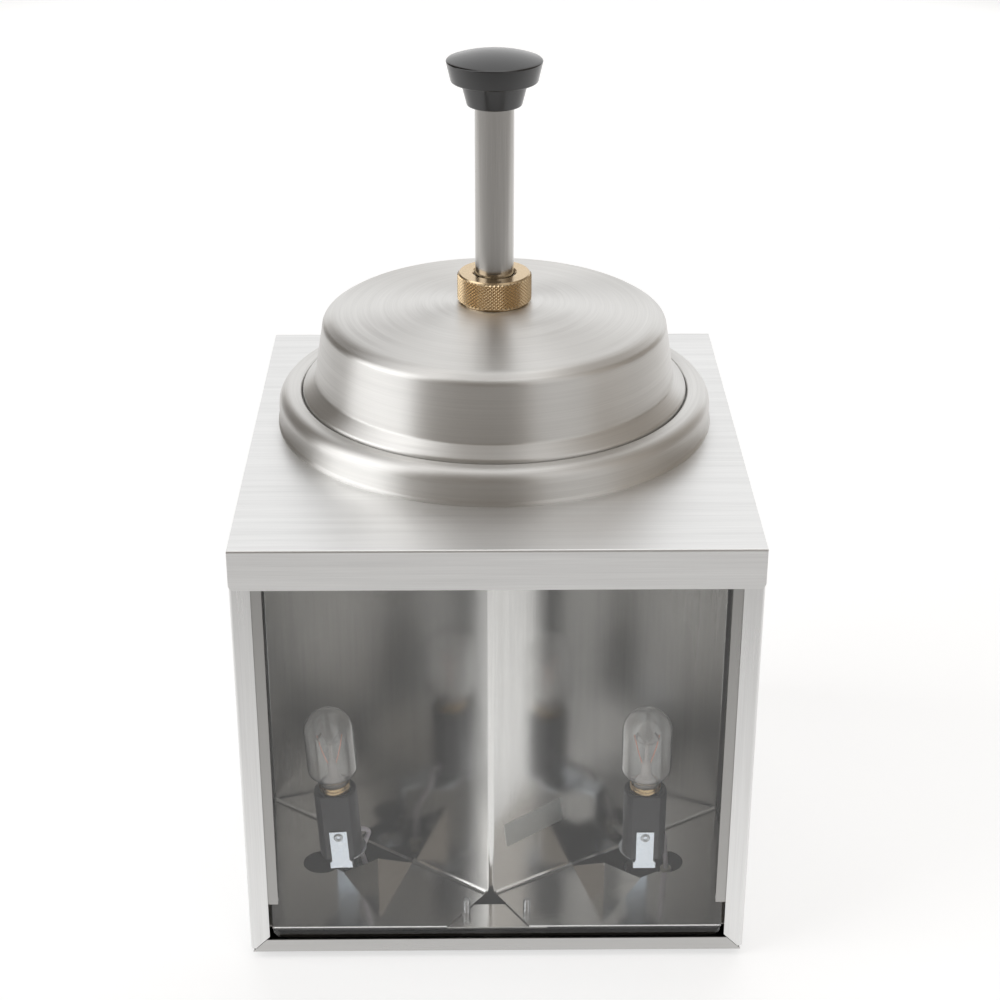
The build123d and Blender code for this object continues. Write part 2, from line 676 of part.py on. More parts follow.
with BuildPart() as heater_nuts:
    with BuildSketch(Plane.XY.offset(HEATER_TOP - 13)):
        with Locations((-STUD_X, WELL_Y), (STUD_X, WELL_Y)):
            RegularPolygon(4.6, 6)
            Circle(2.5, mode=Mode.SUBTRACT)
    extrude(amount=4)
finish(heater_nuts.part, "heater_nuts")

with BuildPart() as terminal_block:
    block_y = BACK - 55.0
    plate((20, block_y - 9, BASE_Z + SHEET), (62, block_y + 9, BASE_Z + SHEET + 15))
    drill(2.4, BASE_Z + SHEET + 15, BASE_Z + SHEET + 8, [(28 + 13 * i, block_y) for i in range(3)])
finish(terminal_block.part, "terminal_block")

# ---------------------------------------------------------------- rear controls
with BuildPart() as switch_housing:
    plate((SWITCH_X - 10.5, REAR_FACE, CONTROL_Z - 16), (SWITCH_X + 10.5, REAR_FACE + 2.2, CONTROL_Z + 16))
    fillet(switch_housing.edges().filter_by(Axis.Y), radius=2.0)
    plate((SWITCH_X - 6.6, REAR_FACE - 20, CONTROL_Z - 13.6), (SWITCH_X + 6.6, REAR_FACE, CONTROL_Z + 13.6))
    plate((SWITCH_X - 2.0, REAR_FACE - 28, CONTROL_Z - 9), (SWITCH_X - 1.2, REAR_FACE - 20, CONTROL_Z - 3))
    plate((SWITCH_X - 2.0, REAR_FACE - 28, CONTROL_Z + 3), (SWITCH_X - 1.2, REAR_FACE - 20, CONTROL_Z + 9))
    with Locations((SWITCH_X, REAR_FACE - 2.9, CONTROL_Z)):
        Box(10.6, 10.2, 25.4, mode=Mode.SUBTRACT)
finish(switch_housing.part, "switch_housing")

# rocker: pivots on a level pin; at rest its lower half is pressed in
rocker_plane = Plane(
    origin=(SWITCH_X - 5.0, REAR_FACE - 1.5, CONTROL_Z),
    x_dir=(0, cos(radians(ROCKER_TILT)), sin(radians(ROCKER_TILT))),
    z_dir=(1, 0, 0),
)
with BuildPart() as switch_rocker:
    with BuildSketch(rocker_plane):
        with BuildLine():
            Polyline(
                (-3.0, -8),
                (-3.0, 8),
                (3.4, 11.6),
                (5.4, 11.6),
                (3.4, 0),
                (5.4, -11.6),
                (3.4, -11.6),
                close=True,
            )
        make_face()
    extrude(amount=10.0)
finish(switch_rocker.part, "switch_rocker")

with BuildPart() as pilot_lamp:
    spin(
        [(0, 3.6), (3.0, 3.2), (5.6, 1.6), (6.6, 0), (5.0, 0), (5.0, -16), (0, -16)],
        Plane(origin=(PILOT_X, REAR_FACE, CONTROL_Z)),
        Axis((PILOT_X, REAR_FACE, CONTROL_Z), (0, 1, 0)),
    )
finish(pilot_lamp.part, "pilot_lamp")

# cord inlet: hexagonal gland body with a domed cap, open through the middle
GLAND_BORE = 4.0
with BuildPart() as cord_gland:
    gland_axis = Axis((GLAND_X, REAR_FACE, CONTROL_Z), (0, 1, 0))
    with BuildSketch(Plane(origin=(GLAND_X, REAR_FACE, CONTROL_Z), x_dir=(1, 0, 0), z_dir=(0, 1, 0))):
        RegularPolygon(12.6, 6)
    extrude(amount=5.0)
    spin(
        [
            (GLAND_BORE, -14),
            (8.0, -14),
            (8.0, 0),
            (8.6, 5.0),
            (10.6, 5.4),
            (10.6, 13.0),
            (8.4, 16.5),
            (6.0, 17.5),
            (GLAND_BORE, 17.5),
        ],
        Plane(origin=(GLAND_X, REAR_FACE, CONTROL_Z)),
        gland_axis,
    )
    with Locations(Location((GLAND_X, REAR_FACE, CONTROL_Z), (90, 0, 0))):
        Cylinder(GLAND_BORE, 40, mode=Mode.SUBTRACT)
finish(cord_gland.part, "cord_gland")

with BuildPart() as gland_nut:
    with BuildSketch(Plane(origin=(GLAND_X, REAR_WALL, CONTROL_Z), x_dir=(1, 0, 0), z_dir=(0, -1, 0))):
        RegularPolygon(12.0, 6)
        Circle(8.0, mode=Mode.SUBTRACT)
    extrude(amount=5.0)
finish(gland_nut.part, "gland_nut")

# ---------------------------------------------------------------- feet
with BuildPart() as rubber_feet:
    for x, y in FOOT_SPOTS:
        spin(
            [(0, 0), (8.2, 0), (9.0, 0.8), (10.0, BASE_Z), (0, BASE_Z)],
            Plane(origin=(x, y, 0), x_dir=(1, 0, 0), z_dir=(0, -1, 0)),
            Axis((x, y, 0), (0, 0, 1)),
        )
    drill(2.1, BASE_Z, 0, FOOT_SPOTS)
    drill(4.2, 2.6, 0, FOOT_SPOTS)
finish(rubber_feet.part, "rubber_feet")

with BuildPart() as foot_screws:
    drill(2.1, BASE_Z + SHEET + 4.5, 2.6, FOOT_SPOTS, mode=Mode.ADD)
    drill(3.6, 2.6, 0.8, FOOT_SPOTS, mode=Mode.ADD)
finish(foot_screws.part, "foot_screws")

with BuildPart() as foot_nuts:
    with BuildSketch(Plane.XY.offset(BASE_Z + SHEET)):
        with Locations(*FOOT_SPOTS):
            RegularPolygon(4.0, 6)
            Circle(2.1, mode=Mode.SUBTRACT)
    extrude(amount=3.2)
finish(foot_nuts.part, "foot_nuts")

# ---------------------------------------------------------------- food vessel
with BuildPart() as food_vessel:
    spin_sheet(
        [
            (0, VESSEL_FLOOR),
            (VESSEL_R, VESSEL_FLOOR),
            (VESSEL_R, LEDGE_Z + 0.1),
            (VESSEL_RIM_R, LEDGE_Z + 0.1),
        ],
        [12.0, 1.2],
        SPUN,
    )
finish(food_vessel.part, "food_vessel")

# ---------------------------------------------------------------- lid
NECK_HOLE_R = NECK_R + 0.2
with BuildPart() as lid_dome:
    spin_sheet(
        [
            (LID_R, LID_BOTTOM),
            (LID_R, BASE_Z + 252.0),
            LID_FOLD,
            LID_SHOULDER_LOW,
            LID_SHOULDER_HIGH,
            (40.0, BASE_Z + 297.0),
            (LID_FLAT_R, LID_FLAT_Z),
            (NECK_HOLE_R, LID_FLAT_Z),
        ],
        [2.4, 2.5, 4.5, 12.0, 40.0, 8.0],
        SPUN,
    )
    # hole in the rear of the skirt for the discharge tube
    with BuildSketch(Plane(origin=(0, WELL_Y + 60, SPOUT_Z), x_dir=(1, 0, 0), z_dir=(0, 1, 0))):
        Circle(TUBE_R)
    extrude(amount=60, mode=Mode.SUBTRACT)
finish(lid_dome.part, "lid_dome")

LID_UNDERSIDE = LID_FLAT_Z - SPUN
GASKET_T = 1.5
with BuildPart() as barrel_gasket:
    drill(23.0, LID_UNDERSIDE, LID_UNDERSIDE - GASKET_T, [(0, WELL_Y)], mode=Mode.ADD)
    drill(NECK_R, LID_UNDERSIDE, LID_UNDERSIDE - GASKET_T, [(0, WELL_Y)])
finish(barrel_gasket.part, "barrel_gasket")

FLANGE_TOP = LID_UNDERSIDE - GASKET_T
INLET_BALL_Z = INLET_SEAT[1] + sqrt(INLET_BALL_R**2 - INLET_SEAT[0] ** 2)
OUTLET_BALL_Z = OUTLET_SEAT[1] + sqrt(OUTLET_BALL_R**2 - OUTLET_SEAT[0] ** 2)
INLET_PIN_Z = INLET_BALL_Z + INLET_BALL_R + BALL_LIFT + PIN_R + 0.2
OUTLET_PIN_Z = OUTLET_BALL_Z + OUTLET_BALL_R + BALL_LIFT + PIN_R + 0.2
with BuildPart() as pump_barrel:
    spin(
        [
            (BARREL_BORE, NECK_TOP),
            (NECK_R, NECK_TOP),
            (NECK_R, FLANGE_TOP),
            (24.0, FLANGE_TOP),
            (24.0, FLANGE_TOP - 2.5),
            (BARREL_R + 1.5, FLANGE_TOP - 6.0),
            (BARREL_R, FLANGE_TOP - 10.0),
            (BARREL_R, BARREL_BOTTOM),
            (CHAMBER_R, BARREL_BOTTOM),
            (CHAMBER_R, BARREL_LEDGE_Z),
            (BARREL_BORE, BARREL_LEDGE_Z),
        ]
    )
    with Locations(Location((0, WELL_Y, INLET_PIN_Z), (0, 90, 0))):
        Cylinder(PIN_R, 2 * BARREL_R + 2, mode=Mode.SUBTRACT)
finish(pump_barrel.part, "pump_barrel")

with BuildPart() as stem_bush:
    drill(BARREL_BORE, NECK_TOP, NECK_TOP - 16, [(0, WELL_Y)], mode=Mode.ADD)
    drill(STEM_R + 0.06, NECK_TOP, NECK_TOP - 16, [(0, WELL_Y)])
finish(stem_bush.part, "stem_bush")

# valve body: barrel seat, inlet seat below, side port to the discharge riser behind
RISER_Y = WELL_Y + RISER_OFFSET
with BuildPart() as valve_body:
    drill(19.0, VALVE_TOP, VALVE_BOTTOM, [(0, WELL_Y)], mode=Mode.ADD)
    drill(12.5, LOBE_TOP, VALVE_BOTTOM, [(0, RISER_Y)], mode=Mode.ADD)
    plate((-9.0, WELL_Y, VALVE_BOTTOM), (9.0, RISER_Y, VALVE_TOP))
    drill(BARREL_R, VALVE_TOP, BARREL_BOTTOM, [(0, WELL_Y)])
    drill(CHAMBER_R, BARREL_BOTTOM, INLET_SEAT[1], [(0, WELL_Y)])
    drill(INLET_SEAT[0], INLET_SEAT[1], VALVE_BOTTOM, [(0, WELL_Y)])
    with BuildSketch(Plane(origin=(0, WELL_Y, BASE_Z + 75.3), x_dir=(1, 0, 0), z_dir=(0, 1, 0))):
        Circle(3.8)
    extrude(amount=RISER_OFFSET, mode=Mode.SUBTRACT)
    drill(OUTLET_SEAT[0], OUTLET_SEAT[1], BASE_Z + 71.0, [(0, RISER_Y)])
    drill(TUBE_BORE, LOBE_TOP, OUTLET_SEAT[1], [(0, RISER_Y)])
    drill(TUBE_R, LOBE_TOP, LOBE_TOP - 9.0, [(0, RISER_Y)])
    with Locations(Location((0, RISER_Y, OUTLET_PIN_Z), (0, 90, 0))):
        Cylinder(PIN_R, 30, mode=Mode.SUBTRACT)
finish(valve_body.part, "valve_body")

with BuildPart() as ball_stop_pins:
    with Locations(Location((0, WELL_Y, INLET_PIN_Z), (0, 90, 0))):
        Cylinder(PIN_R, 2 * BARREL_R - 0.2)
    with Locations(Location((0, RISER_Y, OUTLET_PIN_Z), (0, 90, 0))):
        Cylinder(PIN_R, 24)
finish(ball_stop_pins.part, "ball_stop_pins")

with BuildPart() as inlet_ball:
    with Locations((0, WELL_Y, INLET_BALL_Z + 0.1)):
        Sphere(INLET_BALL_R)
finish(inlet_ball.part, "inlet_ball")

with BuildPart() as outlet_ball:
    with Locations((0, RISER_Y, OUTLET_BALL_Z + 0.1)):
        Sphere(OUTLET_BALL_R)
finish(outlet_ball.part, "outlet_ball")

# discharge tube: up beside the barrel, out through the rear of the lid, down at the spout
SPOUT_Y = BACK + SPOUT_REACH - TUBE_R
with BuildPart() as discharge_tube:
    with BuildLine() as tube_path:
        FilletPolyline(
            (0, RISER_Y, LOBE_TOP - 9.0),
            (0, RISER_Y, SPOUT_Z),
            (0, SPOUT_Y, SPOUT_Z),
            (0, SPOUT_Y, SPOUT_TIP_Z),
            radius=[RISER_BEND, SPOUT_BEND],
        )
    with BuildSketch(Plane.XY.offset(LOBE_TOP - 9.0)):
        with Locations((0, RISER_Y)):
            Circle(TUBE_R)
            Circle(TUBE_BORE, mode=Mode.SUBTRACT)
    sweep(path=tube_path.wires()[0])
finish(discharge_tube.part, "discharge_tube")

with BuildPart() as lock_nut:
    nut_bottom = LID_FLAT_Z + 0.1
    nut_top = nut_bottom + NUT_H
    nut_bore = NECK_R + 0.1
    spin(
        [
            (nut_bore, nut_bottom),
            (NUT_R - 0.6, nut_bottom),
            (NUT_R, nut_bottom + 0.6),
            (NUT_R, nut_top - 0.6),
            (NUT_R - 0.6, nut_top),
            (STEM_R + 1.6, nut_top),
            (STEM_R + 0.9, nut_top - 0.7),
            (STEM_R + 0.9, NECK_TOP + 0.3),
            (nut_bore, NECK_TOP + 0.3),
        ]
    )
finish(lock_nut.part, "lock_nut")

# ---------------------------------------------------------------- plunger
with BuildPart() as plunger_stem:
    drill(STEM_R, STEM_TOP, PISTON_BOTTOM + PISTON_H, [(0, WELL_Y)], mode=Mode.ADD)
    drill(STEM_R - 1.5, STEM_TOP, PISTON_BOTTOM + PISTON_H, [(0, WELL_Y)])
    # long flat milled on the front, from just above the nut to just below the knob
    flat_low = (-STEM_R, WELL_Y - STEM_R - 1.0, LID_FLAT_Z + NUT_H + 1.8)
    flat_high = (STEM_R, WELL_Y - STEM_R + STEM_FLAT_DEPTH, KNOB_BOTTOM - 1.0)
    plate(flat_low, flat_high, mode=Mode.SUBTRACT)
finish(plunger_stem.part, "plunger_stem")

PISTON_R = BARREL_BORE - 0.08
with BuildPart() as piston:
    spin(
        [
            (0, PISTON_BOTTOM),
            (PISTON_R - 0.5, PISTON_BOTTOM),
            (PISTON_R, PISTON_BOTTOM + 0.5),
            (PISTON_R, PISTON_BOTTOM + 5.0),
            (PISTON_R - 2.4, PISTON_BOTTOM + 5.0),
            (PISTON_R - 2.4, PISTON_BOTTOM + 8.0),
            (PISTON_R, PISTON_BOTTOM + 8.0),
            (PISTON_R, PISTON_BOTTOM + 13.0),
            (STEM_R, PISTON_BOTTOM + PISTON_H),
            (STEM_R - 1.5, PISTON_BOTTOM + PISTON_H),
            (STEM_R - 1.5, PISTON_BOTTOM + PISTON_H + 12),
            (0, PISTON_BOTTOM + PISTON_H + 12),
        ]
    )
finish(piston.part, "piston")

with BuildPart() as piston_seal:
    with BuildSketch(WELL_PLANE):
        with Locations((PISTON_R - 1.16, PISTON_BOTTOM + 6.5)):
            Circle(1.2)
    revolve(axis=WELL_AXIS)
finish(piston_seal.part, "piston_seal")

KNOB_R = 23.7
DOME_RISE = 4.3
dome_r = (KNOB_R**2 + DOME_RISE**2) / (2 * DOME_RISE)
dome_mid = (KNOB_R / 2, KNOB_TOP - dome_r + sqrt(dome_r**2 - KNOB_R**2 / 4))
with BuildPart() as knob:
    with BuildSketch(WELL_PLANE):
        with BuildLine():
            Polyline(
                (0, KNOB_BOTTOM + 8.0),
                (STEM_R, KNOB_BOTTOM + 8.0),
                (STEM_R, KNOB_BOTTOM),
                (13.2, KNOB_BOTTOM),
                (14.2, KNOB_BOTTOM + 1.0),
                (17.0, KNOB_BOTTOM + 10.8),
                (17.4, KNOB_BOTTOM + 11.6),
                (21.4, KNOB_BOTTOM + 12.2),
                (22.2, KNOB_BOTTOM + 13.0),
                (24.3, KNOB_BOTTOM + 21.4),
            )
            Line((24.3, KNOB_BOTTOM + 21.4), (KNOB_R, KNOB_TOP - DOME_RISE))
            ThreePointArc((KNOB_R, KNOB_TOP - DOME_RISE), dome_mid, (0, KNOB_TOP))
            Line((0, KNOB_TOP), (0, KNOB_BOTTOM + 8.0))
        make_face()
    revolve(axis=WELL_AXIS)
finish(knob.part, "knob")

# return spring, wound between the barrel ledge and the piston, with closed ends
SPRING_R = 11.0
WIRE_R = 0.9
SPRING_LOW = BARREL_LEDGE_Z + WIRE_R + 0.1
SPRING_HIGH = PISTON_BOTTOM - WIRE_R - 0.1
SPRING_TURNS = 12
with BuildPart() as return_spring:
    with BuildLine() as spring_path:
        Helix(
            pitch=(SPRING_HIGH - SPRING_LOW) / SPRING_TURNS,
            height=SPRING_HIGH - SPRING_LOW,
            radius=SPRING_R,
            center=(0, WELL_Y, SPRING_LOW),
        )
    with BuildSketch(Plane(origin=spring_path.line @ 0, z_dir=spring_path.line % 0)):
        Circle(WIRE_R)
    sweep(path=spring_path.line, is_frenet=True)
finish(return_spring.part, "return_spring")
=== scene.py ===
"""Looks of the nacho cheese dispenser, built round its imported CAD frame.

Blender units are metres. Outlines are written in millimetres and scaled by MM.
"""

import json
import math

import bmesh
import bpy
from mathutils import Matrix, Vector


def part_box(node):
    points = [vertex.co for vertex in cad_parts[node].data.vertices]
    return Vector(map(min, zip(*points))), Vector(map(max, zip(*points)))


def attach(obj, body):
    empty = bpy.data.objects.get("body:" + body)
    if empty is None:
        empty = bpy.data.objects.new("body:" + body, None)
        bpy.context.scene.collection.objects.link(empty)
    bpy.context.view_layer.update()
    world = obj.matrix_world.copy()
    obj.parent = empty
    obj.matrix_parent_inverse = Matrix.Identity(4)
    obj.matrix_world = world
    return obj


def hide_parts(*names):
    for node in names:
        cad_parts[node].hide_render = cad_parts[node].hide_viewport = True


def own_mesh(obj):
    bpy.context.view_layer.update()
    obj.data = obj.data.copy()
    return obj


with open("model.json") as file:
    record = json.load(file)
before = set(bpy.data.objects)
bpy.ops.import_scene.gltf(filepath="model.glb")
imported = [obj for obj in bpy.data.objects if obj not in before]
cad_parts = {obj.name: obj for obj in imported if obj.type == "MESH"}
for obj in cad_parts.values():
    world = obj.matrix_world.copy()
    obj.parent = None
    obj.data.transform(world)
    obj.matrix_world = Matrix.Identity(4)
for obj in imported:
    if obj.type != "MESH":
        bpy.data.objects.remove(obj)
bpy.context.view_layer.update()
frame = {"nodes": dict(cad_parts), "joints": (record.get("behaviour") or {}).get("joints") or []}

MM = 0.001
TURN = 2 * math.pi
WELD = 1e-6  # metres: points nearer than this are one point
SPUN_SHEET = 0.9  # millimetres: the lid's and the water well's sheet
nodes = frame["nodes"]


# ---------------------------------------------------------------- places, read from the frame
def middle(node):
    """Centre of a CAD node's box."""
    low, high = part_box(node)
    return (low + high) / 2


def joint_named(name):
    """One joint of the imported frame."""
    return next(joint for joint in frame["joints"] if joint["name"] == name)


def joint_frame(name):
    """A lamp joint's own frame: origin at its foot, Z along the lamp, Y to the rear."""
    joint = joint_named(name)
    upward = Vector(joint["axis"]).normalized()
    rearward = Vector((0, 1, 0))
    across = rearward.cross(upward)
    placed = Matrix((across, rearward, upward)).transposed().to_4x4()
    placed.translation = Vector(joint["pos_m"])
    return placed


def on_pump(height):
    """Places a turned piece on the pump's axis, with its foot at the height."""
    return Matrix.Translation((PUMP.x, PUMP.y, height))


PUMP = middle("lock_nut")
PUMP_AXIS = on_pump(0)
TOP_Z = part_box("top_cover")[1].z

# the reflector as it is folded: wing angles from the window, ridge place, sheet, bend and lamp cut-out
WINGS = {"left": math.radians(36.4), "right": math.radians(31.7)}
VERTEX_X = -3.0 * MM
VERTEX_BACK = 33.25 * MM
SKIN = 0.8 * MM
FOLD_R = 2.2
CUTOUT = (51.5 * MM, 89.5 * MM)


# ---------------------------------------------------------------- mesh helpers
def make_object(name, mesh, matrix=None):
    """A new object holding the mesh, which is moved into place by the matrix."""
    if matrix is not None:
        mesh.transform(matrix)
    made = bpy.data.objects.new(name, mesh)
    bpy.context.scene.collection.objects.link(made)
    return made


def mesh_from(name, points, faces):
    """A mesh from points in millimetres."""
    mesh = bpy.data.meshes.new(name)
    mesh.from_pydata([tuple(c * MM for c in p) for p in points], [], faces)
    mesh.validate()
    return mesh


def smooth(mesh, angle=35):
    """Smooth shading, kept sharp at edges that turn by more than the angle."""
    for face in mesh.polygons:
        face.use_smooth = True
    mesh.set_sharp_from_angle(angle=math.radians(angle))


def rounded(points, radii, step=12):
    """An open outline whose corners become arcs of the given radii, with a point each step in degrees."""
    out = [Vector(points[0])]
    for before, corner, after, radius in zip(points, points[1:], points[2:], radii):
        corner = Vector(corner)
        arrive = (Vector(before) - corner).normalized()
        leave = (Vector(after) - corner).normalized()
        spread = math.acos(max(-1, min(1, arrive.dot(leave))))
        if radius == 0 or spread > math.pi - 0.01:
            out.append(corner)
            continue
        cut = radius / math.tan(spread / 2)
        centre = corner + (arrive + leave).normalized() * (radius / math.sin(spread / 2))
        start = corner + arrive * cut - centre
        end = corner + leave * cut - centre
        turn = start.angle_signed(end)
        count = max(2, math.ceil(abs(math.degrees(turn)) / step) + 1)
        for i in range(count + 1):
            angle = -turn * i / count
            out.append(centre + Matrix.Rotation(angle, 2) @ start)
    out.append(Vector(points[-1]))
    return out


def walled(path, thickness):
    """A closed outline: the path, and the same path moved to its left by the thickness."""
    moved = []
    for i, point in enumerate(path):
        ahead = path[min(i + 1, len(path) - 1)]
        behind = path[max(i - 1, 0)]
        along = (ahead - behind).normalized()
        moved.append(point + Vector((-along.y, along.x)) * thickness)
    return path + moved[::-1]


def polar(radius, angle, height):
    """A point by its distance and angle about Z."""
    return (radius * math.cos(angle), radius * math.sin(angle), height)


def faced_outward(mesh, weld=False):
    """Turn every face outward. Weld joins the points that coincide first."""
    edit = bmesh.new()
    edit.from_mesh(mesh)
    if weld:
        bmesh.ops.remove_doubles(edit, verts=edit.verts, dist=WELD)
    bmesh.ops.recalc_face_normals(edit, faces=edit.faces)
    edit.to_mesh(mesh)
    edit.free()
    return mesh


def lathe_mesh(name, outline, segments=160, closed=False, shift=None):
    """Turn an outline of (radius, height) about Z. shift(angle, height) may add to a point's radius."""
    rings = [Vector(p) for p in outline]
    points = []
    for ring in rings:
        for k in range(segments):
            angle = TURN * k / segments
            radius = ring.x + (shift(angle, ring.y) if shift else 0)
            points.append(polar(radius, angle, ring.y))
    faces = []
    last = len(rings) if closed else len(rings) - 1
    for i in range(last):
        low = i * segments
        high = ((i + 1) % len(rings)) * segments
        for k in range(segments):
            n = (k + 1) % segments
            faces.append((low + k, low + n, high + n, high + k))
    return faced_outward(mesh_from(name, points, faces), weld=True)


def rolled_thread(pitch, depth, low, high):
    """A shift for lathe_mesh: a rolled thread between two heights."""

    def shift(angle, height):
        if not low <= height <= high:
            return 0.0
        return -depth * (0.5 + 0.5 * math.cos(TURN * (height / pitch - angle / TURN)))

    return shift


def lathe(name, outline, matrix, body, look, segments=160, closed=False, angle=35, shift=None):
    """A turned piece, placed, finished and riding on its body."""
    mesh = lathe_mesh(name, outline, segments, closed, shift)
    smooth(mesh, angle)
    made = make_object(name, mesh, matrix)
    made.data.materials.append(look)
    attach(made, body)
    return made


def slab_mesh(name, outline, thickness):
    """A flat plate: an outline of (x, y) in millimetres, raised by the thickness along Z."""
    count = len(outline)
    points = [(x, y, 0) for x, y in outline] + [(x, y, thickness) for x, y in outline]
    faces = [tuple(reversed(range(count))), tuple(range(count, 2 * count))]
    for k in range(count):
        n = (k + 1) % count
        faces.append((k, n, count + n, count + k))
    return faced_outward(mesh_from(name, points, faces))


def eased(made, width, segments=2, angle=30):
    """Break an object's sharp edges by a small rounded bevel."""
    bevel = made.modifiers.new("eased", "BEVEL")
    bevel.width = width * MM
    bevel.segments = segments
    bevel.limit_method = "ANGLE"
    bevel.angle_limit = math.radians(angle)
    bevel.harden_normals = True
    smooth(made.data, 180)
    return made


def tube(name, route, radius, body, look, resolution=6):
    """A round wire that follows a route's points, in metres, on one smooth curve. Radius in millimetres."""
    curve = bpy.data.curves.new(name, "CURVE")
    curve.dimensions = "3D"
    curve.bevel_depth = radius * MM
    curve.bevel_resolution = resolution
    curve.use_fill_caps = True
    spline = curve.splines.new("NURBS")
    spline.points.add(len(route) - 1)
    for point, place in zip(spline.points, route):
        point.co = (*place, 1)
    spline.order_u = 3
    spline.use_endpoint_u = True
    spline.resolution_u = 16
    made = bpy.data.objects.new(name, curve)
    bpy.context.scene.collection.objects.link(made)
    bpy.context.view_layer.update()
    mesh = bpy.data.meshes.new_from_object(made.evaluated_get(bpy.context.evaluated_depsgraph_get()))
    bpy.data.objects.remove(made)
    smooth(mesh, 60)
    made = make_object(name, mesh)
    made.data.materials.clear()
    made.data.materials.append(look)
    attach(made, body)
    return made


# ---------------------------------------------------------------- materials
class Look:
    """A Principled material and short calls for the nodes that feed it."""

    def __init__(self, name, colour, roughness, metallic=0.0):
        self.material = bpy.data.materials.new(name)
        self.material.use_nodes = True
        self.tree = self.material.node_tree
        self.shader = self.tree.nodes["Principled BSDF"]
        self.colour = (*colour, 1)
        self.shader.inputs["Base Color"].default_value = self.colour
        self.shader.inputs["Roughness"].default_value = roughness
        self.shader.inputs["Metallic"].default_value = metallic
        self.roughness = roughness
        place = self.tree.nodes.new("ShaderNodeTexCoord")
        self.place = place.outputs["Object"]

    def put(self, **sockets):
        """Set plain numbers on the shader's own sockets."""
        for socket, value in sockets.items():
            self.shader.inputs[socket.replace("_", " ")].default_value = value
        return self

    def link(self, source, target):
        """Join an output socket to an input."""
        self.tree.links.new(source, target)

    def node(self, kind, **values):
        """A new node with its properties set."""
        made = self.tree.nodes.new(kind)
        for key, value in values.items():
            setattr(made, key, value)
        return made

    def stretched(self, scale, source=None):
        """Object coordinates scaled apart along X, Y and Z, per metre."""
        mapping = self.node("ShaderNodeMapping")
        mapping.inputs["Scale"].default_value = scale
        self.link(source or self.place, mapping.inputs["Vector"])
        return mapping.outputs["Vector"]

    def noise(self, vector, scale=1.0, detail=3.0, rough=0.6):
        """Smooth noise from 0 to 1."""
        made = self.node("ShaderNodeTexNoise")
        made.inputs["Scale"].default_value = scale
        made.inputs["Detail"].default_value = detail
        made.inputs["Roughness"].default_value = rough
        self.link(vector, made.inputs["Vector"])
        return made.outputs["Fac"]

    def ranged(self, source, low, high, start=0.3, end=0.7):
        """The source's start to end mapped to low to high."""
        made = self.node("ShaderNodeMapRange")
        made.inputs["From Min"].default_value = start
        made.inputs["From Max"].default_value = end
        made.inputs["To Min"].default_value = low
        made.inputs["To Max"].default_value = high
        self.link(source, made.inputs["Value"])
        return made.outputs["Result"]

    def math(self, operation, first, second=None):
        """A Math node on two sockets or numbers."""
        made = self.node("ShaderNodeMath", operation=operation)
        for socket, value in zip(made.inputs, (first, second)):
            if isinstance(value, (int, float)):
                socket.default_value = value
            elif value is not None:
                self.link(value, socket)
        return made.outputs[0]

    def rough_by(self, source, swing):
        """Let the source vary the roughness about its middle value."""
        varied = self.ranged(source, self.roughness - swing, self.roughness + swing)
        self.link(varied, self.shader.inputs["Roughness"])
        return self

    def tint_by(self, source, other, low=0.0, high=1.0):
        """Mix the base colour towards another colour where the source is high."""
        mix = self.node("ShaderNodeMix", data_type="RGBA")
        self.link(self.ranged(source, low, high), mix.inputs["Factor"])
        plain, mixed_in = [socket for socket in mix.inputs if socket.type == "RGBA"]
        plain.default_value = self.colour
        mixed_in.default_value = (*other, 1)
        result = next(socket for socket in mix.outputs if socket.type == "RGBA")
        self.link(result, self.shader.inputs["Base Color"])
        return self

    def bump_by(self, source, height, strength=1.0):
        """Raise the surface by the source, by a height in millimetres."""
        bump = self.node("ShaderNodeBump")
        bump.inputs["Distance"].default_value = height * MM
        bump.inputs["Strength"].default_value = strength
        self.link(source, bump.inputs["Height"])
        earlier = self.shader.inputs["Normal"].links
        if earlier:
            self.link(earlier[0].from_socket, bump.inputs["Normal"])
        self.link(bump.outputs["Normal"], self.shader.inputs["Normal"])
        return self

    def clear_to_lamps(self):
        """Let light pass: the glass throws no shadow."""
        out = self.tree.nodes["Material Output"]
        path = self.node("ShaderNodeLightPath")
        clear = self.node("ShaderNodeBsdfTransparent")
        mix = self.node("ShaderNodeMixShader")
        self.link(path.outputs["Is Shadow Ray"], mix.inputs["Fac"])
        self.link(self.shader.outputs["BSDF"], mix.inputs[1])
        self.link(clear.outputs["BSDF"], mix.inputs[2])
        self.link(mix.outputs["Shader"], out.inputs["Surface"])
        return self


def grain_scale(direction, fine, long):
    """Noise scale per metre: fine across the grain, long along it."""
    return tuple(long if axis == direction else fine for axis in "XYZ")


def brushed(name, colour, roughness, direction, depth=0.0025, swing=0.06, tint=0.93):
    """Rolled sheet metal with a straight grain along one axis."""
    look = Look(name, colour, roughness, metallic=1.0)
    fine = look.noise(look.stretched(grain_scale(direction, fine=2600, long=22)), detail=2.0)
    broad = look.noise(look.stretched(grain_scale(direction, fine=260, long=6)), detail=3.0)
    cloud = look.noise(look.stretched((9, 9, 9)), detail=2.0)
    both = look.math("MULTIPLY", look.math("ADD", fine, broad), 0.5)
    look.rough_by(look.math("MULTIPLY", look.math("ADD", both, cloud), 0.5), swing)
    look.tint_by(both, tuple(c * tint for c in colour))
    look.bump_by(fine, depth)
    return look


